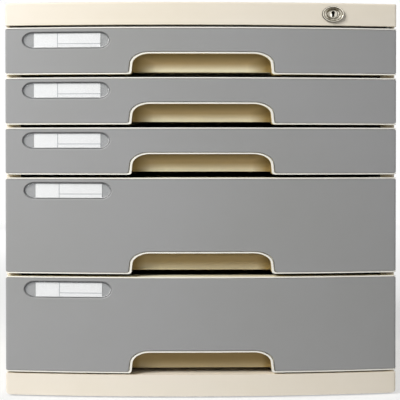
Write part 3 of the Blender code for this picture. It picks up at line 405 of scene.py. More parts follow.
# %% Metals and rubber
lock_turn = next(joint for joint in frame["joints"] if joint["name"] == "lock_turn")
LOCK_PLACE = Vector(lock_turn["pos_m"])
LOCK_OUT = -Vector(lock_turn["axis"]).normalized()
LOCK_SIDE = Vector((-LOCK_OUT.y, LOCK_OUT.x, 0.0))
OVAL_HALF_WIDTH, OVAL_HALF_HEIGHT = 0.0086, 0.00615
# As shares of the oval: each groove's middle and half its width, then where a change starts and is complete.
GROOVES = ((0.83, 0.055), (0.58, 0.08))
DISH_OUTER, DISH_INNER = (0.9, 0.85), (0.38, 0.44)
DARK_EDGE_SHADE = (0.93, 0.955)
KEYWAY_REACH = (0.5, 0.45)
# In metres from the place of the lock's joint, upwards and then outwards.
DISH_SHADE_RISE = (0.0, 0.004)
KEYWAY_DEPTH = (0.0009, 0.0005)


def distance_along(graph, offset, direction):
    settings = {"operation": "DOT_PRODUCT"}
    return graph.node("ShaderNodeVectorMath", settings, {0: offset, 1: direction}, "Value")


def lock_metal():
    """Worn nickel: bright on the raised rim, tarnished in the dish, with painted shade on the dish's top,
    its outer edge and deep in the keyway.
    """
    material, graph, shader = new_material("lock_nickel")
    place = here(graph)
    offset = graph.node("ShaderNodeVectorMath", {"operation": "SUBTRACT"}, {0: place, 1: LOCK_PLACE})
    out = distance_along(graph, offset, LOCK_OUT)
    up = graph.axes(offset).of("Z")
    across = distance_along(graph, offset, LOCK_SIDE) / OVAL_HALF_WIDTH
    level = up / OVAL_HALF_HEIGHT
    reach = (across * across + level * level).root()
    wear = noise(graph, place, 420.0, 4.0, 0.7)
    scratches = noise(graph, place, 2200.0, 3.0, 0.8)
    outer, inner = [1.0 - abs(reach - middle) / half_width for middle, half_width in GROOVES]
    grooves = outer.high(inner).limited()
    dish = reach.between(*DISH_OUTER).limited() * reach.between(*DISH_INNER).limited()
    # Patina in the dish, with painted shade that grows towards its top.
    dish_patina_and_shade = dish * (0.3 + up.between(*DISH_SHADE_RISE).limited() * 0.3 + (wear - 0.45) * 2.0)
    tarnish_and_shade = (dish_patina_and_shade + grooves * 0.75 + (wear - 0.6).high(0.0) * 1.5).limited()
    metal = graph.mixed(tarnish_and_shade, linear(214, 208, 194), linear(82, 73, 54))
    # Painted shade: a dark outline at the bezel's edge, and near black deep in the keyway.
    edge_shade = reach.between(*DARK_EDGE_SHADE).limited()
    keyway = out.between(*KEYWAY_DEPTH).limited() * reach.between(*KEYWAY_REACH).limited()
    painted_dark = (keyway + edge_shade * 0.8).limited()
    feed(
        graph, shader,
        Base_Color=graph.mixed(painted_dark, metal, linear(22, 19, 15)),
        Roughness=0.16 + tarnish_and_shade * 0.24 + painted_dark * 0.4,
        Normal=bumped(graph, wear * 0.6 + scratches * 0.4, 0.00003, 0.5),
        Metallic=1.0,
    )
    return material


def plated(name, colour, dull, mottle_scale, roughness, spread):
    material, graph, shader = new_material(name)
    place = here(graph)
    crystals = graph.node("ShaderNodeTexVoronoi", None, {"Vector": place, "Scale": mottle_scale})
    cells = graph.node("ShaderNodeSeparateColor", None, {0: crystals.of("Color")})
    wear = noise(graph, place, mottle_scale * 0.6, 4.0, 0.7)
    scratches = noise(graph, place, 2200.0, 3.0, 0.8)
    feed(
        graph, shader,
        Base_Color=graph.mixed(cells * 0.5 + wear * 0.5, colour, dull),
        Roughness=roughness + (wear - 0.5) * spread + (cells - 0.5) * spread * 0.5,
        Normal=bumped(graph, scratches, 0.000008, 0.4),
        Metallic=1.0,
    )
    return material


def rubber():
    material, graph, shader = new_material("black_rubber")
    place = here(graph)
    dust = noise(graph, place, 180.0, 5.0, 0.7)
    grain = noise(graph, place, 1800.0, 2.0)
    feed(
        graph, shader,
        Base_Color=graph.mixed((dust - 0.45).high(0.0) * 1.6, linear(34, 34, 35), linear(78, 76, 73)),
        Roughness=0.78 + dust * 0.15,
        Normal=bumped(graph, grain, 0.00004, 0.6),
    )
    return material


polished_nickel = plated("polished_nickel", linear(214, 208, 197), linear(190, 184, 172), 260.0, 0.2, 0.14)
lock_nickel = lock_metal()
zinc_steel = plated("zinc_plated_steel", linear(198, 203, 208), linear(168, 173, 178), 420.0, 0.36, 0.2)
black_rubber = rubber()
print("metals:", polished_nickel.name, lock_nickel.name, zinc_steel.name)

# %% [markdown]
# ## Working shapes
# The fronts, the panels, the cover and the base are all the same kind of shape: an outline with rounded
# corners, given a thickness, cut by others like it, and bowed. So they are made flat first. A flat shape
# is easy to cut cleanly and to bevel evenly, and its faces stay whole. The bow comes last, in one place,
# for all of them.
#
# In the flat state x and z are where they will be, and y is the depth behind the front.

# %% Outlines, slabs and cuts
# How an outline's u and v, and a place w along the slab's axis, become x, y and z.
PLACES = {"X": lambda u, v, w: (w, u, v), "Y": lambda u, v, w: (u, w, v), "Z": lambda u, v, w: (u, v, w)}
MERGE = 0.000002
FAR = 0.05
workshop = bpy.data.collections.new("workshop")
bpy.context.scene.collection.children.link(workshop)


def arcs(corners, steps):
    """A closed outline of (x, y, radius) corners, each with its arc."""
    outline = []
    for i, (x, y, radius) in enumerate(corners):
        corner = Vector((x, y))
        if not radius:
            outline.append((x, y))
            continue
        before = (Vector(corners[i - 1][:2]) - corner).normalized()
        after = (Vector(corners[(i + 1) % len(corners)][:2]) - corner).normalized()
        half = before.angle(after) / 2
        centre = corner + (before + after).normalized() * (radius / math.sin(half))
        start = corner + before * (radius / math.tan(half)) - centre
        turn = start.angle_signed(corner + after * (radius / math.tan(half)) - centre)
        for step in range(steps + 1):
            outline.append((centre + Matrix.Rotation(-turn * step / steps, 2) @ start)[:])
    return outline


def rectangle(low, high, low_radius=0.0, high_radius=0.0, steps=8):
    """A rectangle between two corners, with one radius for its lower corners and one for its upper ones."""
    corners = [(low[0], low[1], low_radius), (high[0], low[1], low_radius)]
    corners += [(high[0], high[1], high_radius), (low[0], high[1], high_radius)]
    return arcs(corners, steps)


def ellipse(half_width, half_height, steps, middle=(0.0, 0.0)):
    turns = [2 * math.pi * step / steps for step in range(steps)]
    return [(middle[0] + half_width * math.cos(t), middle[1] + half_height * math.sin(t)) for t in turns]


def circle(radius, steps, middle=(0.0, 0.0)):
    return ellipse(radius, radius, steps, middle)


def skin(mesh, rings):
    """Faces between each ring of points and the next; a ring of one point is a pole."""
    for first, second in zip(rings, rings[1:]):
        for i in range(max(len(first), len(second))):
            around = ((first, i - 1), (first, i), (second, i), (second, i - 1))
            corners = [ring[k % len(ring)] for ring, k in around]
            mesh.faces.new(list(dict.fromkeys(corners)))


def workpiece(mesh, name="work"):
    """An object from a bmesh, with its doubles merged and its faces turned outwards."""
    bmesh.ops.remove_doubles(mesh, verts=mesh.verts, dist=MERGE)
    bmesh.ops.recalc_face_normals(mesh, faces=mesh.faces)
    data = bpy.data.meshes.new(name)
    mesh.to_mesh(data)
    mesh.free()
    made = bpy.data.objects.new(name, data)
    workshop.objects.link(made)
    return made


@contextmanager
def editing(shape):
    """The shape's mesh opened for edits, which are written back at the end."""
    mesh = bmesh.new()
    mesh.from_mesh(shape.data)
    yield mesh
    mesh.to_mesh(shape.data)
    mesh.free()


def slab(outline, low, high, axis="Y", end=None):
    """An outline given a thickness along an axis; with an end outline of as many points, its sides slope."""
    mesh = bmesh.new()
    ends = ((outline, low), (end or outline, high))
    rings = [[mesh.verts.new(PLACES[axis](u, v, w)) for u, v in ring] for ring, w in ends]
    for ring in rings:
        mesh.faces.new(ring)
    skin(mesh, rings)
    return workpiece(mesh)


def block(low, high):
    return slab(rectangle(low, high), low[2], high[2], "Z")


def rod(radius, low, high, axis="Z", steps=32, middle=(0.0, 0.0)):
    return slab(circle(radius, steps, middle), low, high, axis)


def settle(shape):
    """Turns what the modifiers give into the shape's own mesh."""
    graph = bpy.context.evaluated_depsgraph_get()
    data = bpy.data.meshes.new_from_object(shape.evaluated_get(graph))
    shape.modifiers.clear()
    shape.data = data
    return shape


def discard(shape):
    bpy.data.objects.remove(shape)


def combine(shape, tools, operation):
    for tool in tools:
        modifier = shape.modifiers.new("combine", "BOOLEAN")
        modifier.operation = operation
        modifier.solver = "EXACT"
        modifier.object = tool
        settle(shape)
        discard(tool)
    return shape


def cut(shape, *tools):
    return combine(shape, tools, "DIFFERENCE")


def join(shape, *tools):
    return combine(shape, tools, "UNION")


def meet(shape, *tools):
    return combine(shape, tools, "INTERSECT")


print("workshop open")

# %% [markdown]
# ## Soft edges
# No moulded edge is sharp: the tool's corners are rounded, and the round catches a thin line of light
# that tells the eye where the edge is. A bevel on every edge over thirty degrees makes it. The flat faces
# beside it must stay flat to the eye, so the normals are weighted by the faces' area afterwards. Before
# the bevel, the leftovers of the cuts are dissolved, or it would round edges that aren't there.

# %% Bevels and normals
EDGE_ANGLE = math.radians(30)
SHARP_ANGLE = math.radians(40)
FLAT_ANGLE = math.radians(0.2)


def whole_faces(shape):
    """Merges doubles and dissolves the edges that lie inside a flat face."""
    with editing(shape) as mesh:
        bmesh.ops.remove_doubles(mesh, verts=mesh.verts, dist=MERGE)
        whole = {"verts": mesh.verts, "edges": mesh.edges, "delimit": set()}
        bmesh.ops.dissolve_limit(mesh, angle_limit=FLAT_ANGLE, **whole)


def soften(shape, width, segments=2):
    whole_faces(shape)
    modifier = shape.modifiers.new("soften", "BEVEL")
    modifier.limit_method = "ANGLE"
    modifier.angle_limit = EDGE_ANGLE
    modifier.width = width
    modifier.segments = segments
    modifier.use_clamp_overlap = True
    return settle(shape)


def smooth(shape):
    """Smooth shading that keeps flat faces flat."""
    shape.data.shade_smooth()
    shape.data.set_sharp_from_angle(angle=SHARP_ANGLE)
    modifier = shape.modifiers.new("weigh", "WEIGHTED_NORMAL")
    modifier.keep_sharp = True
    modifier.weight = 50
    return settle(shape)


def show(shape):
    """Moves a shape out of the workshop into the scene."""
    workshop.objects.unlink(shape)
    bpy.context.scene.collection.objects.link(shape)


def finished(shape, name, material, body, slot, *nodes):
    """Names a shape, gives it its finish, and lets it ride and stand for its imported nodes."""
    shape.name = shape.data.name = name
    shape.data.materials.clear()
    shape.data.materials.append(material)
    show(shape)
    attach(shape, body)
    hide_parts(*nodes)
    return shape


def copy_of(shape, up):
    """The same shape again, moved up in its mesh."""
    made = bpy.data.objects.new(shape.name, shape.data.copy())
    made.data.transform(Matrix.Translation((0.0, 0.0, up)))
    workshop.objects.link(made)
    return made


print("edges over", round(math.degrees(EDGE_ANGLE)), "degrees get a bevel")

# %% [markdown]
# ## The bow
# Every piece in the cabinet's front follows the arc, so the rule is written once, as a Geometry Nodes
# tree that moves points: near the front a point shifts back by the full arc, behind that the shift fades,
# and from some depth on the piece is straight again.
#
# The arc needs points to bend at, so the flat shape is first sliced into columns 3 mm wide.

# %% Slices and the bow tree
COLUMN = 0.003
FRONT_BOW = (0.0045, 0.008)
SKIRT_BOW = (0.004, 0.02)


def sliced(shape):
    with editing(shape) as mesh:
        x = COLUMN - HALF_WIDTH
        while x < HALF_WIDTH - COLUMN / 2:
            geometry = mesh.verts[:] + mesh.edges[:] + mesh.faces[:]
            bmesh.ops.bisect_plane(mesh, geom=geometry, dist=MERGE, plane_co=(x, 0, 0), plane_no=(1, 0, 0))
            x += COLUMN
    return shape


def new_geometry_tree(name, inputs):
    """A Geometry Nodes tree with named inputs for its sizes."""
    tree = bpy.data.node_groups.new(name, "GeometryNodeTree")
    tree.interface.new_socket("Geometry", in_out="INPUT", socket_type="NodeSocketGeometry")
    for title, kind in inputs.items():
        tree.interface.new_socket(title, in_out="INPUT", socket_type=kind)
    tree.interface.new_socket("Geometry", in_out="OUTPUT", socket_type="NodeSocketGeometry")
    graph = Graph(tree)
    return tree, graph, graph.node("NodeGroupInput")


def end_tree(graph, geometry, material):
    """Realize Instances and Set Material close every tree."""
    real = graph.node("GeometryNodeRealizeInstances", None, {"Geometry": geometry})
    coated = graph.node("GeometryNodeSetMaterial", None, {"Geometry": real, "Material": material})
    graph.node("NodeGroupOutput", None, {0: coated})


def run_tree(shape, tree, values):
    """Runs a tree on a shape with these input values, and keeps the result as a plain mesh."""
    modifier = shape.modifiers.new("tree", "NODES")
    modifier.node_group = tree
    for item in tree.interface.items_tree:
        if item.in_out == "INPUT" and item.name in values:
            modifier[item.identifier] = values[item.name]
    return settle(shape)


def bow_tree():
    lengths = ("Radius", "Depth of bow", "Front", "Bowed to", "Straight from")
    inputs = {title: "NodeSocketFloat" for title in lengths}
    tree, graph, given = new_geometry_tree("bow", {**inputs, "Finish": "NodeSocketMaterial"})
    x = graph.axes(graph.node("GeometryNodeInputPosition"))
    depth, z = x.of("Y"), x.of("Z")
    radius = given.of("Radius")
    arc = radius - (radius * radius - x * x).root()
    straight = depth.between(given.of("Bowed to"), given.of("Straight from")).limited()
    y = given.of("Front") + depth + arc * (1.0 - straight) + given.of("Depth of bow") * straight
    place = graph.node("ShaderNodeCombineXYZ", None, {0: x, 1: y, 2: z})
    sockets = {"Geometry": given.of("Geometry"), "Position": place}
    moved = graph.node("GeometryNodeSetPosition", None, sockets)
    end_tree(graph, moved, given.of("Finish"))
    return tree


BOW = bow_tree()


def bowed(shape, material, reach=FRONT_BOW):
    values = {
        "Radius": BOW_RADIUS, "Depth of bow": BOW_DEPTH, "Front": -HALF_DEPTH,
        "Bowed to": reach[0], "Straight from": reach[1], "Finish": material,
    }
    return smooth(run_tree(sliced(shape), BOW, values))


print("columns of", COLUMN * 1000, "mm")

# %% [markdown]
# ## Drawer fronts
# A front is two mouldings. The cream shell is hollow behind, and its edges stand proud as a rim along the
# top, the bottom and round the notch. A flat wall closes the notch behind the fingers. The grey panel
# drops into the shell with a seam of 0.3 mm, wider round the notch, and wraps round the two ends. Both
# follow the same outline, so one function draws it for any distance inwards from the edge. The three
# shallow fronts are as high as each other, and so are the two deep ones, so each moulding is made once
# for each height and copied, and so are its labels.

# %% The outline of a front
FRONT_RIM = 0.00155
NOTCH_RIM = 0.0024
SEAM = 0.0003
NOTCH_SEAM = 0.0008
ROOF_SHARE = 0.65
EDGE_ROOM = 0.00035
NOTCH_WIDTH = 0.1073
NOTCH_HEIGHT = 0.0160
NOTCH_SLANT = math.tan(math.radians(6))
NOTCH_RADIUS = 0.008
NOTCH_LIP = 0.0015
FRONT_CORNER = 0.0008
PLAN_CORNER = 0.0015
CORNER_STRETCH = 1.62
PANEL_THICKNESS = 0.0022
PANEL_END_THICKNESS = 0.0016
PANEL_END_LENGTH = 0.006
SHELL_WALL = 0.0018
SHELL_DEPTH = 0.009
DEEP_FROM = 0.05


def front_outline(height, inset, notch_inset, beyond=0.0):
    """A front seen face on. Its roundings are wider than they are high, as in the photograph."""
    half = HALF_WIDTH + beyond
    low, high = inset, height - inset
    roof = NOTCH_HEIGHT + notch_inset * ROOF_SHARE
    foot = NOTCH_WIDTH / 2 + notch_inset - low * NOTCH_SLANT
    neck = NOTCH_WIDTH / 2 + notch_inset - roof * NOTCH_SLANT
    shoulder = NOTCH_RADIUS + inset
    corners = [(-half, low, FRONT_CORNER), (-foot, low, NOTCH_LIP), (-neck, roof, shoulder)]
    corners += [(neck, roof, shoulder), (foot, low, NOTCH_LIP), (half, low, FRONT_CORNER)]
    corners += [(half, high, FRONT_CORNER), (-half, high, FRONT_CORNER)]
    outline = arcs([(x / CORNER_STRETCH, z, radius) for x, z, radius in corners], 10)
    return [(x * CORNER_STRETCH, z) for x, z in outline]


def room_behind(height, depth, side, radius=0.0):
    """All that lies deeper than a depth and within the sides, from below a front to above it."""
    half = HALF_WIDTH - side
    return slab(rectangle((-half, depth), (half, FAR), radius), -FAR, height + FAR, "Z")


print("notch in mm:", round(NOTCH_WIDTH * 1000, 1), "wide,", round(NOTCH_HEIGHT * 1000, 1), "high")

# %% One moulding for each height of front
def numbered(stem, count):
    """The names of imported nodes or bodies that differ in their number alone."""
    return [f"{stem}_{number}" for number in range(1, count + 1)]


def drawer(body):
    """A drawer's body, the z of its front's lower edge, its height and whether it is deep."""
    low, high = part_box(f"{body}_front")
    return body, low.z, round(high.z - low.z, 6), high.z - low.z > DEEP_FROM


DRAWERS = [drawer(body) for body in numbered("drawer", 5)]


def fit_fronts(make, title, material, slot, part):
    """Makes a part once for each height of front, and gives every drawer a copy."""
    made = {}
    for body, low, height, deep in DRAWERS:
        if height not in made:
            made[height] = make(height, deep)
        finished(copy_of(made[height], low), f"{body}_{title}", material, body, slot, f"{body}_{part}")
    for height, shape in made.items():
        print(title, "for", round(height * 1000, 1), "mm:", len(shape.data.polygons), "faces")
        discard(shape)


print("heights of the fronts in mm:", [round(height * 1000, 1) for body, low, height, deep in DRAWERS])

# %% [markdown]
# ### The cream shell
# The shell starts as a slab of the outline. The panel's seat is cut from its front and the hollow from
# behind, which leaves a wall of 1.8 mm. Two ribs carry barbed tongues, which snap through the tray's front
# wall: each has one tongue in a shallow front and two in a deep one. The flat wall behind the fingers is
# joined on last, when the shell is bowed, because it stays straight.

# %% The cream shell
SHELL_ROUND = 0.00048
PANEL_ROUND = 0.00035
PULL_DEPTH = 0.0138
PULL_WALL_BOTTOM = 0.0025
RIB_X, RIB_HALF, RIB_START = 0.1, 0.001, 0.0034
TONGUE_LENGTH, TONGUE_HALF = 0.0048, 0.003
BARB_AT, BARB_HEIGHT = 0.0026, 0.0012
DEEP_TONGUES, SHALLOW_TONGUES = (0.3, 0.72), (0.5,)


def rib_with_tongue(x, height, middle):
    """A rib inside the shell that ends in a barbed tongue, which snaps through the tray's front wall."""
    low, high = SHELL_WALL / 2, height - SHELL_WALL / 2
    back, end, barb = SHELL_DEPTH, SHELL_DEPTH + TONGUE_LENGTH, SHELL_DEPTH + BARB_AT
    bottom, top = middle - TONGUE_HALF, middle + TONGUE_HALF
    outline = [(RIB_START, low), (back, low), (back, bottom), (end, bottom), (end, top)]
    outline += [(barb, top + BARB_HEIGHT), (barb, top), (back, top), (back, high), (RIB_START, high)]
    return slab(outline, x - RIB_HALF, x + RIB_HALF, "X")


def pull_wall(height):
    """The flat wall across the notch behind the fingers, which ends above the front's lower edge."""
    half, roof = NOTCH_WIDTH / 2 + SHELL_WALL, NOTCH_HEIGHT + SHELL_WALL
    front_y = PULL_DEPTH - HALF_DEPTH
    wall = slab(rectangle((-half, PULL_WALL_BOTTOM), (half, roof)), front_y, front_y + SHELL_WALL)
    solid_part = front_outline(height, SHELL_WALL / 2, SHELL_WALL / 2)
    cut(wall, slab(solid_part, -HALF_DEPTH - FAR, FAR - HALF_DEPTH))
    return soften(wall, PANEL_ROUND, 3)


def cream_front(height, deep):
    shell = slab(front_outline(height, EDGE_ROOM, 0.0), -FAR, SHELL_DEPTH)
    meet(shell, room_behind(height, 0.0, 0.0, PLAN_CORNER))
    pocket_outline = front_outline(height, FRONT_RIM - SEAM, NOTCH_RIM - NOTCH_SEAM, FAR)
    pocket = slab(pocket_outline, -FAR, PANEL_END_LENGTH + SEAM)
    back, side = PANEL_THICKNESS + SEAM, PANEL_END_THICKNESS + SEAM
    cut(shell, cut(pocket, room_behind(height, back, side)))
    back, side = back + SHELL_WALL, side + SHELL_WALL
    hollow = slab(front_outline(height, SHELL_WALL, SHELL_WALL, -side), -FAR, FAR)
    cut(shell, meet(hollow, room_behind(height, back, side)))
    tongues = DEEP_TONGUES if deep else SHALLOW_TONGUES
    for x in (-RIB_X, RIB_X):
        join(shell, *[rib_with_tongue(x, height, height * share) for share in tongues])
    shell = bowed(soften(shell, SHELL_ROUND, 3), cream_pull)
    shell = smooth(join(shell, pull_wall(height)))
    heights = shell.data.attributes.new("height", "FLOAT", "POINT")
    for item, vertex in zip(heights.data, shell.data.vertices):
        item.value = vertex.co.z
    return shell


fit_fronts(cream_front, "cream_front", cream_pull, "cream_plastic", "front")

# %% [markdown]
# ### The grey panel
# The grey panel is cut from the same outline, further in. Its ends turn back round the corners of the
# front. The recess for the label is as deep as the panel allows, and its edge slopes, because in the
# photograph a shadow line runs round the lens at its upper left and a light line at its lower right.

# %% The grey panel
LABEL_WIDTH = 0.0668
LABEL_HEIGHT = 0.0123
LABEL_END = 0.008
LABEL_DROP = 0.01025
LABEL_DEPTH = 0.0016
LABEL_SLOPE = 0.0006
LABEL_X_SHALLOW, LABEL_X_DEEP = -0.1032, -0.1021


def pill(width, height, end, x, z, steps=24):
    """An outline with straight sides and half-ellipse ends."""
    half = width / 2 - end
    turns = [math.pi * (i / steps - 0.5) for i in range(steps + 1)]
    right = [(x + half + end * math.cos(t), z + height / 2 * math.sin(t)) for t in turns]
    left = [(x - half - end * math.cos(t), z - height / 2 * math.sin(t)) for t in turns]
    return right + left


def label_place(height, deep):
    """The centre of a label on a front."""
    return (LABEL_X_DEEP if deep else LABEL_X_SHALLOW), height - LABEL_DROP


def grey_panel(height, deep):
    panel = slab(front_outline(height, FRONT_RIM, NOTCH_RIM), -FAR, PANEL_END_LENGTH)
    meet(panel, room_behind(height, 0.0, 0.0, PLAN_CORNER))
    cut(panel, room_behind(height, PANEL_THICKNESS, PANEL_END_THICKNESS))
    recess, funnel = (
        pill(LABEL_WIDTH + 2 * more, LABEL_HEIGHT + 2 * more, LABEL_END + more, *label_place(height, deep))
        for more in (0.0, 2 * LABEL_SLOPE)
    )
    cut(panel, slab(recess, -FAR, LABEL_DEPTH), slab(funnel, -LABEL_SLOPE, LABEL_SLOPE, "Y", recess))
    return bowed(soften(panel, PANEL_ROUND, 3), grey_plastic)


fit_fronts(grey_panel, "grey_panel", grey_plastic, "grey_plastic", "face")

# %% [markdown]
# ## Labels
# The card lies just clear of the recess's floor. The clear lens closes it as a shallow cap whose skirt goes
# round the card. Both are flat outlines with a thickness, bowed like the rest. The card gets its UV map
# while it is still flat, from its own x and z. The lens's faces are marked once it is bowed: those that
# turn away from the front are its edge, with a painted dark shade, and those of the edge that look to the
# lower right get a painted highlight.

# %% Cards and lenses
CARD_WIDTH = 0.0509
CARD_HEIGHT = 0.0109
CARD_SHIFT = 0.0008
CARD_CORNER = 0.0004
CARD_THICKNESS = 0.0003
CARD_LIFT = 0.0003
LENS_ROOM = 0.0004
LENS_FRONT, LENS_BACK = 0.0002, 0.0014
LENS_ROUND = 0.00055
SKIRT_WALL, SKIRT_FROM = 0.00025, 0.0009
EDGE_TURNED = 0.985
# The painted highlight on the lens's edge faces the lower right, away from the key lamp.
LOWER_RIGHT = Vector((0.8, 0.0, -0.6))
GLOW_FROM, GLOW_RISE = 0.4, 3.0


def label_card(height, deep):
    x, z = label_place(height, deep)
    low_x, low_z = x + CARD_SHIFT - CARD_WIDTH / 2, z - CARD_HEIGHT / 2
    high = (low_x + CARD_WIDTH, low_z + CARD_HEIGHT)
    outline = rectangle((low_x, low_z), high, CARD_CORNER, CARD_CORNER, 4)
    back = LABEL_DEPTH - CARD_LIFT
    card = sliced(slab(outline, back - CARD_THICKNESS, back))
    layer = card.data.uv_layers.new(name="card")
    for loop in card.data.loops:
        place = card.data.vertices[loop.vertex_index].co
        layer.data[loop.index].uv = ((place.x - low_x) / CARD_WIDTH, (place.z - low_z) / CARD_HEIGHT)
    return bowed(card, white_card)


def lens_outline(place, inset):
    return pill(LABEL_WIDTH - 2 * inset, LABEL_HEIGHT - 2 * inset, LABEL_END - inset, *place)


def label_lens(height, deep):
    place = label_place(height, deep)
    cap = soften(slab(lens_outline(place, LENS_ROOM), LENS_FRONT, LENS_BACK), LENS_ROUND, 3)
    cut(cap, slab(lens_outline(place, LENS_ROOM + SKIRT_WALL), SKIRT_FROM, FAR))
    cap = bowed(cap, clear_lens)
    # Faces for the edge's painted dark shade, and for the painted highlight on its lower right end.
    edge, frost = [cap.data.attributes.new(name, "FLOAT", "FACE") for name in ("edge", "frost")]
    for face in cap.data.polygons:
        outwards = Vector((face.center.x, face.center.y + HALF_DEPTH - BOW_RADIUS, 0.0)).normalized()
        along = face.normal.dot(outwards)
        aside = (face.normal - outwards * along).normalized()
        edge.data[face.index].value = float(abs(along) < EDGE_TURNED)
        glow_share = (aside.dot(LOWER_RIGHT) - GLOW_FROM) * GLOW_RISE
        frost.data[face.index].value = min(1.0, max(0.0, glow_share))
    return cap


fit_fronts(label_card, "card", white_card, "white_card", "label_card")
fit_fronts(label_lens, "lens", clear_lens, "clear_plastic", "label_lens")

# %% [markdown]
# ## Cover and base
# Both are shallow trays turned upside down, one over the cabinet and one under it. Their front skirts
# follow the bow, and their sides and backs are straight, so they too are made flat, with their full
# depth, and the bow fades out over the first 20 mm. The cover is rounded along its upper rim. The base
# has the largest round of the cabinet, along its sides where it meets the desk.

# %% The top cover
WALL = 0.0025
FLAT_REAR = 2 * HALF_DEPTH - BOW_DEPTH
REAR_CORNER = 0.003
COVER_INNER_CORNER = 0.0018
COVER_RIM = 0.0012
WALL_ROUND = 0.0003
LOCK_BORE = 0.0047
LOCK = Matrix((LOCK_SIDE, (0.0, 0.0, 1.0), LOCK_OUT)).transposed().to_4x4()
LOCK.translation = LOCK_PLACE


def deep_plan(inset, front_radius, rear_radius):
    half = HALF_WIDTH - inset
    return rectangle((-half, inset), (half, FLAT_REAR - inset), front_radius, rear_radius)


def round_rim(shape, height, radius, segments):
    """Rounds the edges that lie at one height."""
    with editing(shape) as mesh:
        rim = [e for e in mesh.edges if all(abs(v.co.z - height) < MERGE for v in e.verts)]
        bmesh.ops.bevel(mesh, geom=rim, offset=radius, segments=segments, affect="EDGES", profile=0.5)
    return shape


def top_cover():
    low, high = (corner.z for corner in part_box("top_cover"))
    shape = round_rim(slab(deep_plan(0.0, PLAN_CORNER, REAR_CORNER), low, high, "Z"), high, COVER_RIM, 6)
    cut(shape, slab(deep_plan(WALL, 0.0, COVER_INNER_CORNER), low - FAR, high - WALL, "Z"))
    cut(shape, rod(LOCK_BORE, -FAR, WALL * 2, "Y", 48, (LOCK_PLACE.x, LOCK_PLACE.z)))
    return bowed(soften(shape, WALL_ROUND, 3), cream_plastic, SKIRT_BOW)


finished(top_cover(), "cream_top_cover", cream_plastic, "cabinet", "cream_plastic", "top_cover")
print("cover in place")

# %% The base
BASE_LOW_ROUND, BASE_HIGH_ROUND = 0.0035, 0.0008
FOOT_BOSS, FOOT_BOSS_LOW = 0.009, 0.0045
FOOT_HOLE, FOOT_HOLE_TOP = 0.0028, 0.0095
SCREW_HOLE = 0.00155
FOOT_NODES = [f"{end}_{side}_foot" for end in ("front", "rear") for side in ("left", "right")]
BASE_SCREWS = numbered("base_screw", 4)


def middle_of(node):
    """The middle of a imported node's box, to a thousandth of a millimetre."""
    return tuple(round(sum(pair) / 2, 6) for pair in zip(*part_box(node)))


FOOT_PLACES = sorted(middle_of(node)[:2] for node in FOOT_NODES)


def in_flat(x, y):
    """Where a place behind the bow is in the flat state."""
    return x, y + HALF_DEPTH - BOW_DEPTH


def base():
    low, high = (corner.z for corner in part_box("base"))
    shape = slab(deep_plan(0.0, PLAN_CORNER, REAR_CORNER), low, high, "Z")
    ends = rectangle((-HALF_WIDTH, low), (HALF_WIDTH, high), BASE_LOW_ROUND, BASE_HIGH_ROUND, 10)
    meet(shape, slab(ends, -FAR, FLAT_REAR + FAR))
    cut(shape, slab(deep_plan(WALL, 0.0, REAR_CORNER), low - FAR, high - WALL, "Z"))
    for place in FOOT_PLACES:
        join(shape, rod(FOOT_BOSS, FOOT_BOSS_LOW, high - WALL / 2, "Z", 48, in_flat(*place)))
        cut(shape, rod(FOOT_HOLE, -FAR, FOOT_HOLE_TOP, "Z", 32, in_flat(*place)))
    for node in BASE_SCREWS:
        cut(shape, rod(SCREW_HOLE, -FAR, FAR, "Z", 24, in_flat(*middle_of(node)[:2])))
    return bowed(soften(shape, WALL_ROUND, 3), cream_plastic, SKIRT_BOW)


finished(base(), "cream_base", cream_plastic, "cabinet", "cream_plastic", "base")
print("base in place")

# %% [markdown]
# ## Trays, side panels and back
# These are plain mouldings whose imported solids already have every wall, runner, ear and boss. What they
# lack is the soft edge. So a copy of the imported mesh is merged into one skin, its triangles are dissolved
# back into whole faces, and the same bevel goes round it.

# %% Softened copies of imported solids
SMALL_ROUND = 0.0002


def softened_copy(node, width):
    mesh = bmesh.new()
    mesh.from_mesh(frame["nodes"][node].data)
    return smooth(soften(workpiece(mesh), width))


def soft_moulding(node, name, body, width=WALL_ROUND):
    piece = finished(softened_copy(node, width), name, cream_plastic, body, "cream_plastic", node)
    print(piece.name, len(piece.data.polygons), "faces")


for body in numbered("drawer", 5):
    soft_moulding(f"{body}_tray", f"{body}_cream_tray", body)
    soft_moulding(f"{body}_catch", f"{body}_cream_catch", body, SMALL_ROUND)
for node in ("left_side_panel", "right_side_panel", "back_panel"):
    soft_moulding(node, f"cream_{node}", "cabinet")

# %% [markdown]
# ## Screws, feet and hooks
# Eight screws, four feet and five hooks are each one shape repeated. The shape is made once, and a
# Geometry Nodes tree puts it on points. Each point carries a turn of its own, so that a back screw lies
# level and a base screw stands up. No two screws stop at the same angle, so the slots get a random turn
# with a fixed seed.

# %% A turned shape and the tree that repeats it
def turned(profile, steps=32):
    """A shape of revolution round z from (radius, z) points, closed at its poles."""
    mesh = bmesh.new()
    outlines = [(circle(radius, steps if radius else 1), z) for radius, z in profile]
    skin(mesh, [[mesh.verts.new((x, y, z)) for x, y in outline] for outline, z in outlines])
    return workpiece(mesh)


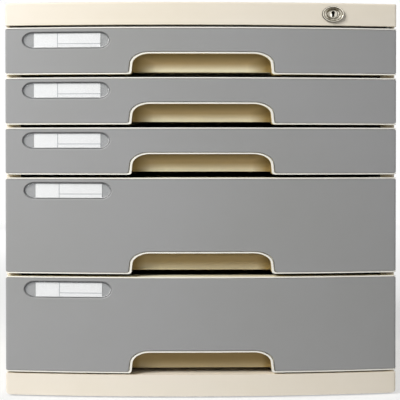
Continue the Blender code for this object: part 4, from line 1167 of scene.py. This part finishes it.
def repeat_tree():
    inputs = {"Shape": "NodeSocketObject", "Random turn": "NodeSocketFloat", "Seed": "NodeSocketInt"}
    tree, graph, given = new_geometry_tree("repeat", {**inputs, "Finish": "NodeSocketMaterial"})
    shape = graph.node("GeometryNodeObjectInfo", None, {"Object": given.of("Shape")}).of("Geometry")
    turn = graph.node("GeometryNodeInputNamedAttribute", {"data_type": "FLOAT_VECTOR"}, {"Name": "turn"})
    stand = graph.node("FunctionNodeEulerToRotation", None, {0: turn})
    sockets = {"Points": given.of("Geometry"), "Instance": shape, "Rotation": stand}
    placed = graph.node("GeometryNodeInstanceOnPoints", None, sockets)
    seed = {"Seed": given.of("Seed")}
    spin = graph.node("FunctionNodeRandomValue", {"data_type": "FLOAT"}, seed, output=1)
    twist = graph.node("ShaderNodeCombineXYZ", None, {"Z": (spin - 0.5) * given.of("Random turn")})
    spun = graph.node("FunctionNodeEulerToRotation", None, {0: twist})
    placed = graph.node("GeometryNodeRotateInstances", None, {"Instances": placed, "Rotation": spun})
    end_tree(graph, placed, given.of("Finish"))
    return tree


REPEAT = repeat_tree()
TURN_SEED = 7


def repeated(shape, places, material, random_turn=0.0):
    """The shape at each (place, turn), as one plain mesh."""
    data = bpy.data.meshes.new("points")
    data.from_pydata([place for place, turn in places], [], [])
    turns = data.attributes.new("turn", "FLOAT_VECTOR", "POINT")
    for item, (place, turn) in zip(turns.data, places):
        item.vector = turn
    points = bpy.data.objects.new("points", data)
    workshop.objects.link(points)
    values = {"Shape": shape, "Random turn": random_turn, "Seed": TURN_SEED, "Finish": material}
    made = run_tree(points, REPEAT, values)
    discard(shape)
    return smooth(made)


print("repeat tree ready")

# %% Screws
STANDING = (0.0, 0.0, 0.0)
LYING = (math.radians(90), 0.0, 0.0)
HEAD_HEIGHT = 0.001
HEAD_PROFILE = [
    (0.0, -HEAD_HEIGHT), (0.0012, -0.00099), (0.0021, -0.00088),
    (0.0026, -0.0006), (0.00275, -0.0003), (0.0027, 0.0),
]
SHANK_PROFILE = [(0.00125, 0.0), (0.00125, 0.0112), (0.0, 0.0114)]
SLOT = ((-0.0004, -0.004, -0.002), (0.0004, 0.004, -0.00045))
SLOT_TURNS = 2.4
METAL_ROUND = 0.00008
BACK_SCREWS = numbered("back_screw", 4)


def pan_screw():
    """A slotted pan head on a plain shank; z is zero under the head, and the shank points up."""
    return soften(cut(turned(HEAD_PROFILE + SHANK_PROFILE), block(*SLOT)), METAL_ROUND)


back_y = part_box(BACK_SCREWS[0])[1].y - HEAD_HEIGHT
heads = [((x, back_y, z), LYING) for x, y, z in map(middle_of, BACK_SCREWS)]
base_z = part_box(BASE_SCREWS[0])[0].z + HEAD_HEIGHT
heads += [((x, y, base_z), STANDING) for x, y, z in map(middle_of, BASE_SCREWS)]
screws = repeated(pan_screw(), heads, zinc_steel, SLOT_TURNS)
finished(screws, "steel_screws", zinc_steel, "cabinet", "zinc_plated_steel", *BACK_SCREWS, *BASE_SCREWS)
print("screws", len(heads))

# %% Feet
FOOT_PROFILE = [
    (0.0, 0.0003), (0.0058, 0.0003), (0.0062, 0.0), (0.0071, 0.0), (0.0078, 0.0005), (0.008, 0.0012),
    (0.008, 0.0038), (0.0077, 0.0042), (0.0025, 0.0042), (0.0025, 0.0088), (0.0021, 0.0092), (0.0, 0.0092),
]
stands = [((x, y, 0.0), STANDING) for x, y in FOOT_PLACES]
feet = repeated(turned(FOOT_PROFILE, 48), stands, black_rubber)
finished(feet, "rubber_feet", black_rubber, "cabinet", "black_rubber", *FOOT_NODES)
print("feet", len(stands))

# %% Hooks
HOOKS = numbered("lock_hook", 5)
hook_places = [(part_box(node)[0], STANDING) for node in HOOKS]
hook = softened_copy(HOOKS[0], SMALL_ROUND)
hook.data.transform(Matrix.Translation(-hook_places[0][0]))
hooks = repeated(hook, hook_places, zinc_steel)
finished(hooks, "steel_hooks", zinc_steel, "lock_bar", "zinc_plated_steel", *HOOKS)
print("hooks", len(hook_places))

# %% [markdown]
# ## The lock
# The bezel is an oval plate with a rounded rim and a dish with two fine grooves round the plug. It is
# built from oval rings, each with its own width, height and level, because its rings aren't scaled copies
# of each other: the outer ones are oval and the bore is round. The plug is turned, with a shallow cone in
# its face that guides the key to the keyway.

# %% The bezel
def ringed(rings, steps=96):
    """A skin over (width, height, z) rings; the first and the last ring are joined as well."""
    mesh = bmesh.new()
    rows = [[mesh.verts.new((x, y, z)) for x, y in ellipse(w / 2, h / 2, steps)] for w, h, z in rings]
    skin(mesh, rows + rows[:1])
    return workpiece(mesh)


BEZEL_RINGS = [
    (0.0172, 0.0123, 0.0003), (0.0172, 0.0123, 0.0012), (0.01705, 0.01215, 0.0015),
    (0.0167, 0.0118, 0.00175), (0.0162, 0.0113, 0.0019), (0.0153, 0.0107, 0.00187),
    (0.0147, 0.0103, 0.0016), (0.0143, 0.01, 0.00145), (0.0138, 0.0097, 0.0015),
    (0.0131, 0.0094, 0.00172), (0.0123, 0.009, 0.00176), (0.0115, 0.0087, 0.0016),
    (0.0104, 0.0083, 0.0013), (0.0093, 0.0079, 0.0013), (0.0083, 0.0076, 0.0015),
    (0.0075, 0.0073, 0.0015), (0.0071, 0.0071, 0.00142), (0.007, 0.007, 0.0003),
]
bezel = smooth(ringed(BEZEL_RINGS))
bezel.data.transform(LOCK)
finished(bezel, "nickel_bezel", lock_nickel, "cabinet", "polished_nickel", "lock_bezel")
print("bezel faces:", len(bezel.data.polygons))

# %% The plug
PLUG_PROFILE = [
    (0.0, 0.0010), (0.0016, 0.0011), (0.0026, 0.00128), (0.0029, 0.0014), (0.0031, 0.00135),
    (0.0032, 0.0012), (0.0032, -0.014), (0.0, -0.014),
]
KEYWAY_FLOOR, KEYWAY_TOP = -0.0026, 0.01
KEYWAY_SLOT = ((-0.0009, -0.0025, KEYWAY_FLOOR), (0.0009, 0.0012, KEYWAY_TOP))
KEYWAY_BORE, KEYWAY_BORE_UP = 0.00135, 0.001
CRANK_SCREW_BORE, CRANK_SCREW_END = 0.0011, -0.0087


def keyway():
    bore = rod(KEYWAY_BORE, KEYWAY_FLOOR, KEYWAY_TOP, "Z", 32, (0.0, KEYWAY_BORE_UP))
    return block(*KEYWAY_SLOT), bore


plug = cut(turned(PLUG_PROFILE, 64), *keyway(), rod(CRANK_SCREW_BORE, -FAR, CRANK_SCREW_END))
plug = smooth(soften(plug, METAL_ROUND))
plug.data.transform(LOCK)
finished(plug, "nickel_plug", lock_nickel, "lock_plug", "polished_nickel", "lock_plug")
print("plug faces:", len(plug.data.polygons))

# %% [markdown]
# The rest of the lock is out of sight behind the fascia: barrel, nut, crank, arm and bar. Their packed
# shapes are right as they are, so they only get their metal.

# %% Hidden lock parts
STEEL_NODES = ("lock_nut", "lock_crank", "crank_screw", "lock_bar", "lock_bar_arm")
FINISH_OF = {"lock_barrel": polished_nickel, **dict.fromkeys(STEEL_NODES, zinc_steel)}
for node, material in FINISH_OF.items():
    piece = frame["nodes"][node]
    piece.data.materials.clear()
    piece.data.materials.append(material)
print("packed nodes finished:", len(FINISH_OF))

# %% [markdown]
# ## Light
# The photograph is a catalogue picture: a broad soft key from the left and above, a weak fill from the
# right, and white all round. The greys fall by a third from left to right, which sets the balance of the
# two. Two low lamps, at the right and behind, light the sides that the picture doesn't show and miss the
# top, which the key lights enough. The white of the background is only for the camera's eye and for what
# gloss mirrors: there half of the floor's colour is plain white, and all of it further out, so the shadow
# stays and is pale. To the light itself the floor is a mid grey, so that it throws little up at the
# fronts.

# %% Floor
WHITE = (1.0, 1.0, 1.0, 1.0)
FLOOR_HALF = 6.0
FLOOR_WHITENS = (0.7, 2.3)


def seen_directly(graph):
    """1 for the camera's rays and for what gloss or glass shows, 0 for the light on the surfaces."""
    light = graph.node("ShaderNodeLightPath")
    return light.of("Is Camera Ray").high(light.of("Is Glossy Ray")).high(light.of("Is Transmission Ray"))


def floor_material():
    material, graph, shader = new_material("pale_floor")
    graph.tree.nodes.remove(shader)
    across = graph.node("ShaderNodeVectorMath", {"operation": "LENGTH"}, {0: here(graph)}, output="Value")
    far = across.between(*FLOOR_WHITENS).limited()
    seen = seen_directly(graph)
    paint = graph.mixed(seen, linear(170, 170, 170), linear(244, 244, 243))
    pale = graph.node("ShaderNodeBsdfDiffuse", None, {"Color": paint})
    white = graph.node("ShaderNodeEmission", None, {"Color": WHITE, "Strength": 1.0})
    mixed = graph.node("ShaderNodeMixShader", None, {0: (0.5 + far * 0.5) * seen, 1: pale, 2: white})
    output = next(n for n in material.node_tree.nodes if n.type == "OUTPUT_MATERIAL")
    graph.tree.links.new(mixed.socket, output.inputs["Surface"])
    return material


floor_mesh = bmesh.new()
bmesh.ops.create_grid(floor_mesh, x_segments=8, y_segments=8, size=FLOOR_HALF)
floor = workpiece(floor_mesh, "floor")
floor.data.materials.append(floor_material())
show(floor)
print("floor", round(2 * max(vertex.co.x for vertex in floor.data.vertices), 1), "m wide")

# %% World and lamps
WORLD_LIGHT = 0.05
AIM = Vector((0.0, 0.0, 0.15))
LAMPS = {
    "key": ((-1.6, -1.6, 1.7), (1.3, 1.3), 80.0),
    "fill": ((1.0, -1.7, 0.8), (1.0, 0.8), 3.2),
    "right": ((1.6, 0.5, 0.55), (1.0, 0.9), 12.0),
    "back": ((-0.3, 1.9, 0.55), (1.4, 0.9), 14.0),
}

world = bpy.data.worlds.new("studio")
bpy.context.scene.world = world
world.use_nodes = True
world.node_tree.nodes.clear()
sky = Graph(world.node_tree)
seen = seen_directly(sky)
level = seen + (1.0 - seen) * WORLD_LIGHT
surround = sky.node("ShaderNodeBackground", None, {"Color": WHITE, "Strength": level})
sky.node("ShaderNodeOutputWorld", None, {"Surface": surround})


def soft_lamp(name, place, size, power):
    lamp = bpy.data.lights.new(name, "AREA")
    lamp.shape = "RECTANGLE"
    lamp.size, lamp.size_y = size
    lamp.energy = power
    made = bpy.data.objects.new(name, lamp)
    made.location = place
    made.rotation_euler = (AIM - Vector(place)).to_track_quat("-Z", "Y").to_euler()
    bpy.context.scene.collection.objects.link(made)


for name, (place, size, power) in LAMPS.items():
    soft_lamp(name, place, size, power)
bpy.context.scene.view_settings.view_transform = "Standard"
print("lamps:", ", ".join(LAMPS))

# %% [markdown]
# ## Close
# The workshop of leftover working shapes is removed.

# %% Finish
bpy.data.collections.remove(workshop)
